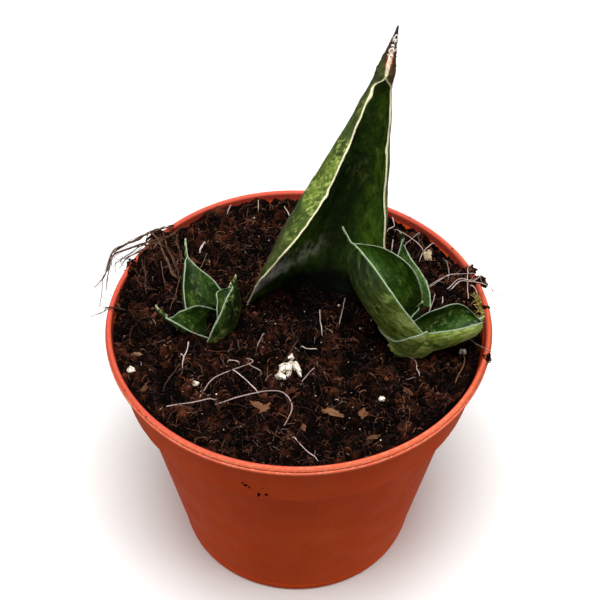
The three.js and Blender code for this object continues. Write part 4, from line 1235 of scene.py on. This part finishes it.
left_skin = leaf_material("left_pup_skin", LEFT_PUP_LOOK)
side_skin = leaf_material("side_leaf_skin", SIDE_LEAF_LOOK)
shaded_furled_skin = leaf_material("shaded_furled_leaf_skin", SHADED_FURLED_LEAF_LOOK)
own_skins = {"right_pup_leaf_side": side_skin, "right_pup_leaf_inner": shaded_furled_skin}

place(make_pot(), plastic, "pot_plastic", "pot")
leaves = [place(make_leaf("tall_leaf", MAIN_LEAF, 3, MAIN_KNOTS), main_skin, "tall_leaf", "main_leaf")]
place(make_shreds("awn_shreds", MAIN_LEAF, 71), paper, "tall_leaf")
for i, node_name in enumerate(PUP_LEAVES):
    skin = own_skins.get(node_name, left_skin if node_name.startswith("left") else right_skin)
    piece = make_leaf(node_name + "_fine", pup_leaf(node_name), 11 + 5 * i)
    leaves.append(place(piece, skin, "pup_leaf", node_name))
place(make_sheath("side_leaf_sheath", pup_leaf("right_pup_leaf_outer")), side_skin, "pup_leaf")

feet = leaf_feet(leaves)
place(make_soil(), peat, "soil", "soil")
place(scatter_crumbs("crumbs_large", 150, (1.5, 3.2), 2, feet, 21), crumb, "soil")
place(scatter_crumbs("crumbs_middle", 1200, (0.7, 1.8), 2, feet, 22, 0.9, 0.6), crumb, "soil")
place(scatter_crumbs("crumbs_small", 7000, (0.3, 1.1), 1, feet, 23, 0.6, 0.6), crumb, "soil")
place(scatter_fibres("coir_fibres", 1900, (1.5, 6), (0.07, 0.18), feet, 31, (0, 0.8), 0.16), coir, "soil")
place(scatter_fibres("coir_bits", 2700, (0.6, 2.6), (0.07, 0.24), feet, 32, (0, 1), 0.35), coir, "soil")
place(scatter_fibres("straw_bits", 110, (1, 3.4), (0.06, 0.11), feet, 33), straw, "soil")
place(make_flakes("bark_flakes", FLAKES, 34), husk, "soil")
place(spilled_crumbs("spilled_crumbs", SPILLS, STUCK, 24), crumb, "soil")
place(laid_fibres("pale_fibres", PALE_FIBRES, 41, 0.75, (0.35, 0.95)), straw, "root")
place(laid_fibres("brown_fibres", BROWN_FIBRES, 42, 0.9, (0.3, 0.6)), root_skin, "root")
place(make_strands("rim_roots_left", LEFT_STRANDS, 51), root_skin, "root", "roots_over_rim_left")
place(make_strands("rim_roots_right", RIGHT_STRANDS, 52, (0.4, 0.8)), straw, "root", "roots_over_rim_right")
place(make_strands("soil_roots_left", FAN_STRANDS, 53, (0.2, 0.75)), root_skin, "root")
place(make_moss("rim_moss", 81), moss, "soil")
for i, (x, y, *sizes) in enumerate(PERLITE):
    single = [(x, y, *(PERLITE_SCALE * size for size in sizes), 0)]
    stone = make_perlite_lump(i, SHARDS if i == 0 else single)
    place(stone, bark if i + 1 in HUSKS else white_grit, "perlite", f"perlite_{i + 1}")
place(scatter_crumbs("perlite_grit", 120, (0.2, 0.7), 2, feet, 61), white_grit, "perlite")

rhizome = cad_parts["rhizome"]
rhizome.data.materials.clear()
rhizome.data.materials.append(root_skin)


# ---------------------------------------- stage, light, camera

def make_stage():
    corners = [(-1, -1, 0), (1, -1, 0), (1, 1, 0), (-1, 1, 0)]
    floor = mesh_object("floor", np.array(corners) * FLOOR_REACH, [np.array([[0, 1, 2, 3]])], smooth=False)
    floor.data.materials.append(Skin("pale_floor", Roughness=0.8, Base_Color=colour("#f2f1ef")).material)
    floor.visible_diffuse = floor.visible_glossy = False


def make_light(name, at, size, power):
    lamp = bpy.data.lights.new(name, "AREA")
    lamp.energy, lamp.size = power, size * MM
    thing = bpy.data.objects.new(name, lamp)
    thing.location = Vector(at) * MM
    aim = Vector(LIGHT_TARGET) * MM - thing.location
    thing.rotation_euler = aim.to_track_quat("-Z", "Y").to_euler()
    bpy.context.scene.collection.objects.link(thing)


def make_camera():
    lens = bpy.data.cameras.new("camera")
    lens.lens, lens.sensor_width, lens.sensor_fit = CAMERA.lens, CAMERA.sensor, "HORIZONTAL"
    lens.clip_start = 0.01
    camera = bpy.data.objects.new("camera", lens)
    camera.location = Vector(CAMERA.place) * MM
    camera.rotation_euler = (math.radians(90 - CAMERA.down), 0, 0)
    bpy.context.scene.collection.objects.link(camera)
    bpy.context.scene.camera = camera


make_stage()
for lamp_name, lamp_sizes in LIGHTS.items():
    make_light(lamp_name, *lamp_sizes)
make_camera()
world = bpy.data.worlds.new("studio")
world.use_nodes = True
world.node_tree.nodes["Background"].inputs["Color"].default_value = (1, 1, 1, 1)
world.node_tree.nodes["Background"].inputs["Strength"].default_value = WORLD_STRENGTH
bpy.context.scene.world = world
bpy.context.scene.view_settings.view_transform = "Standard"
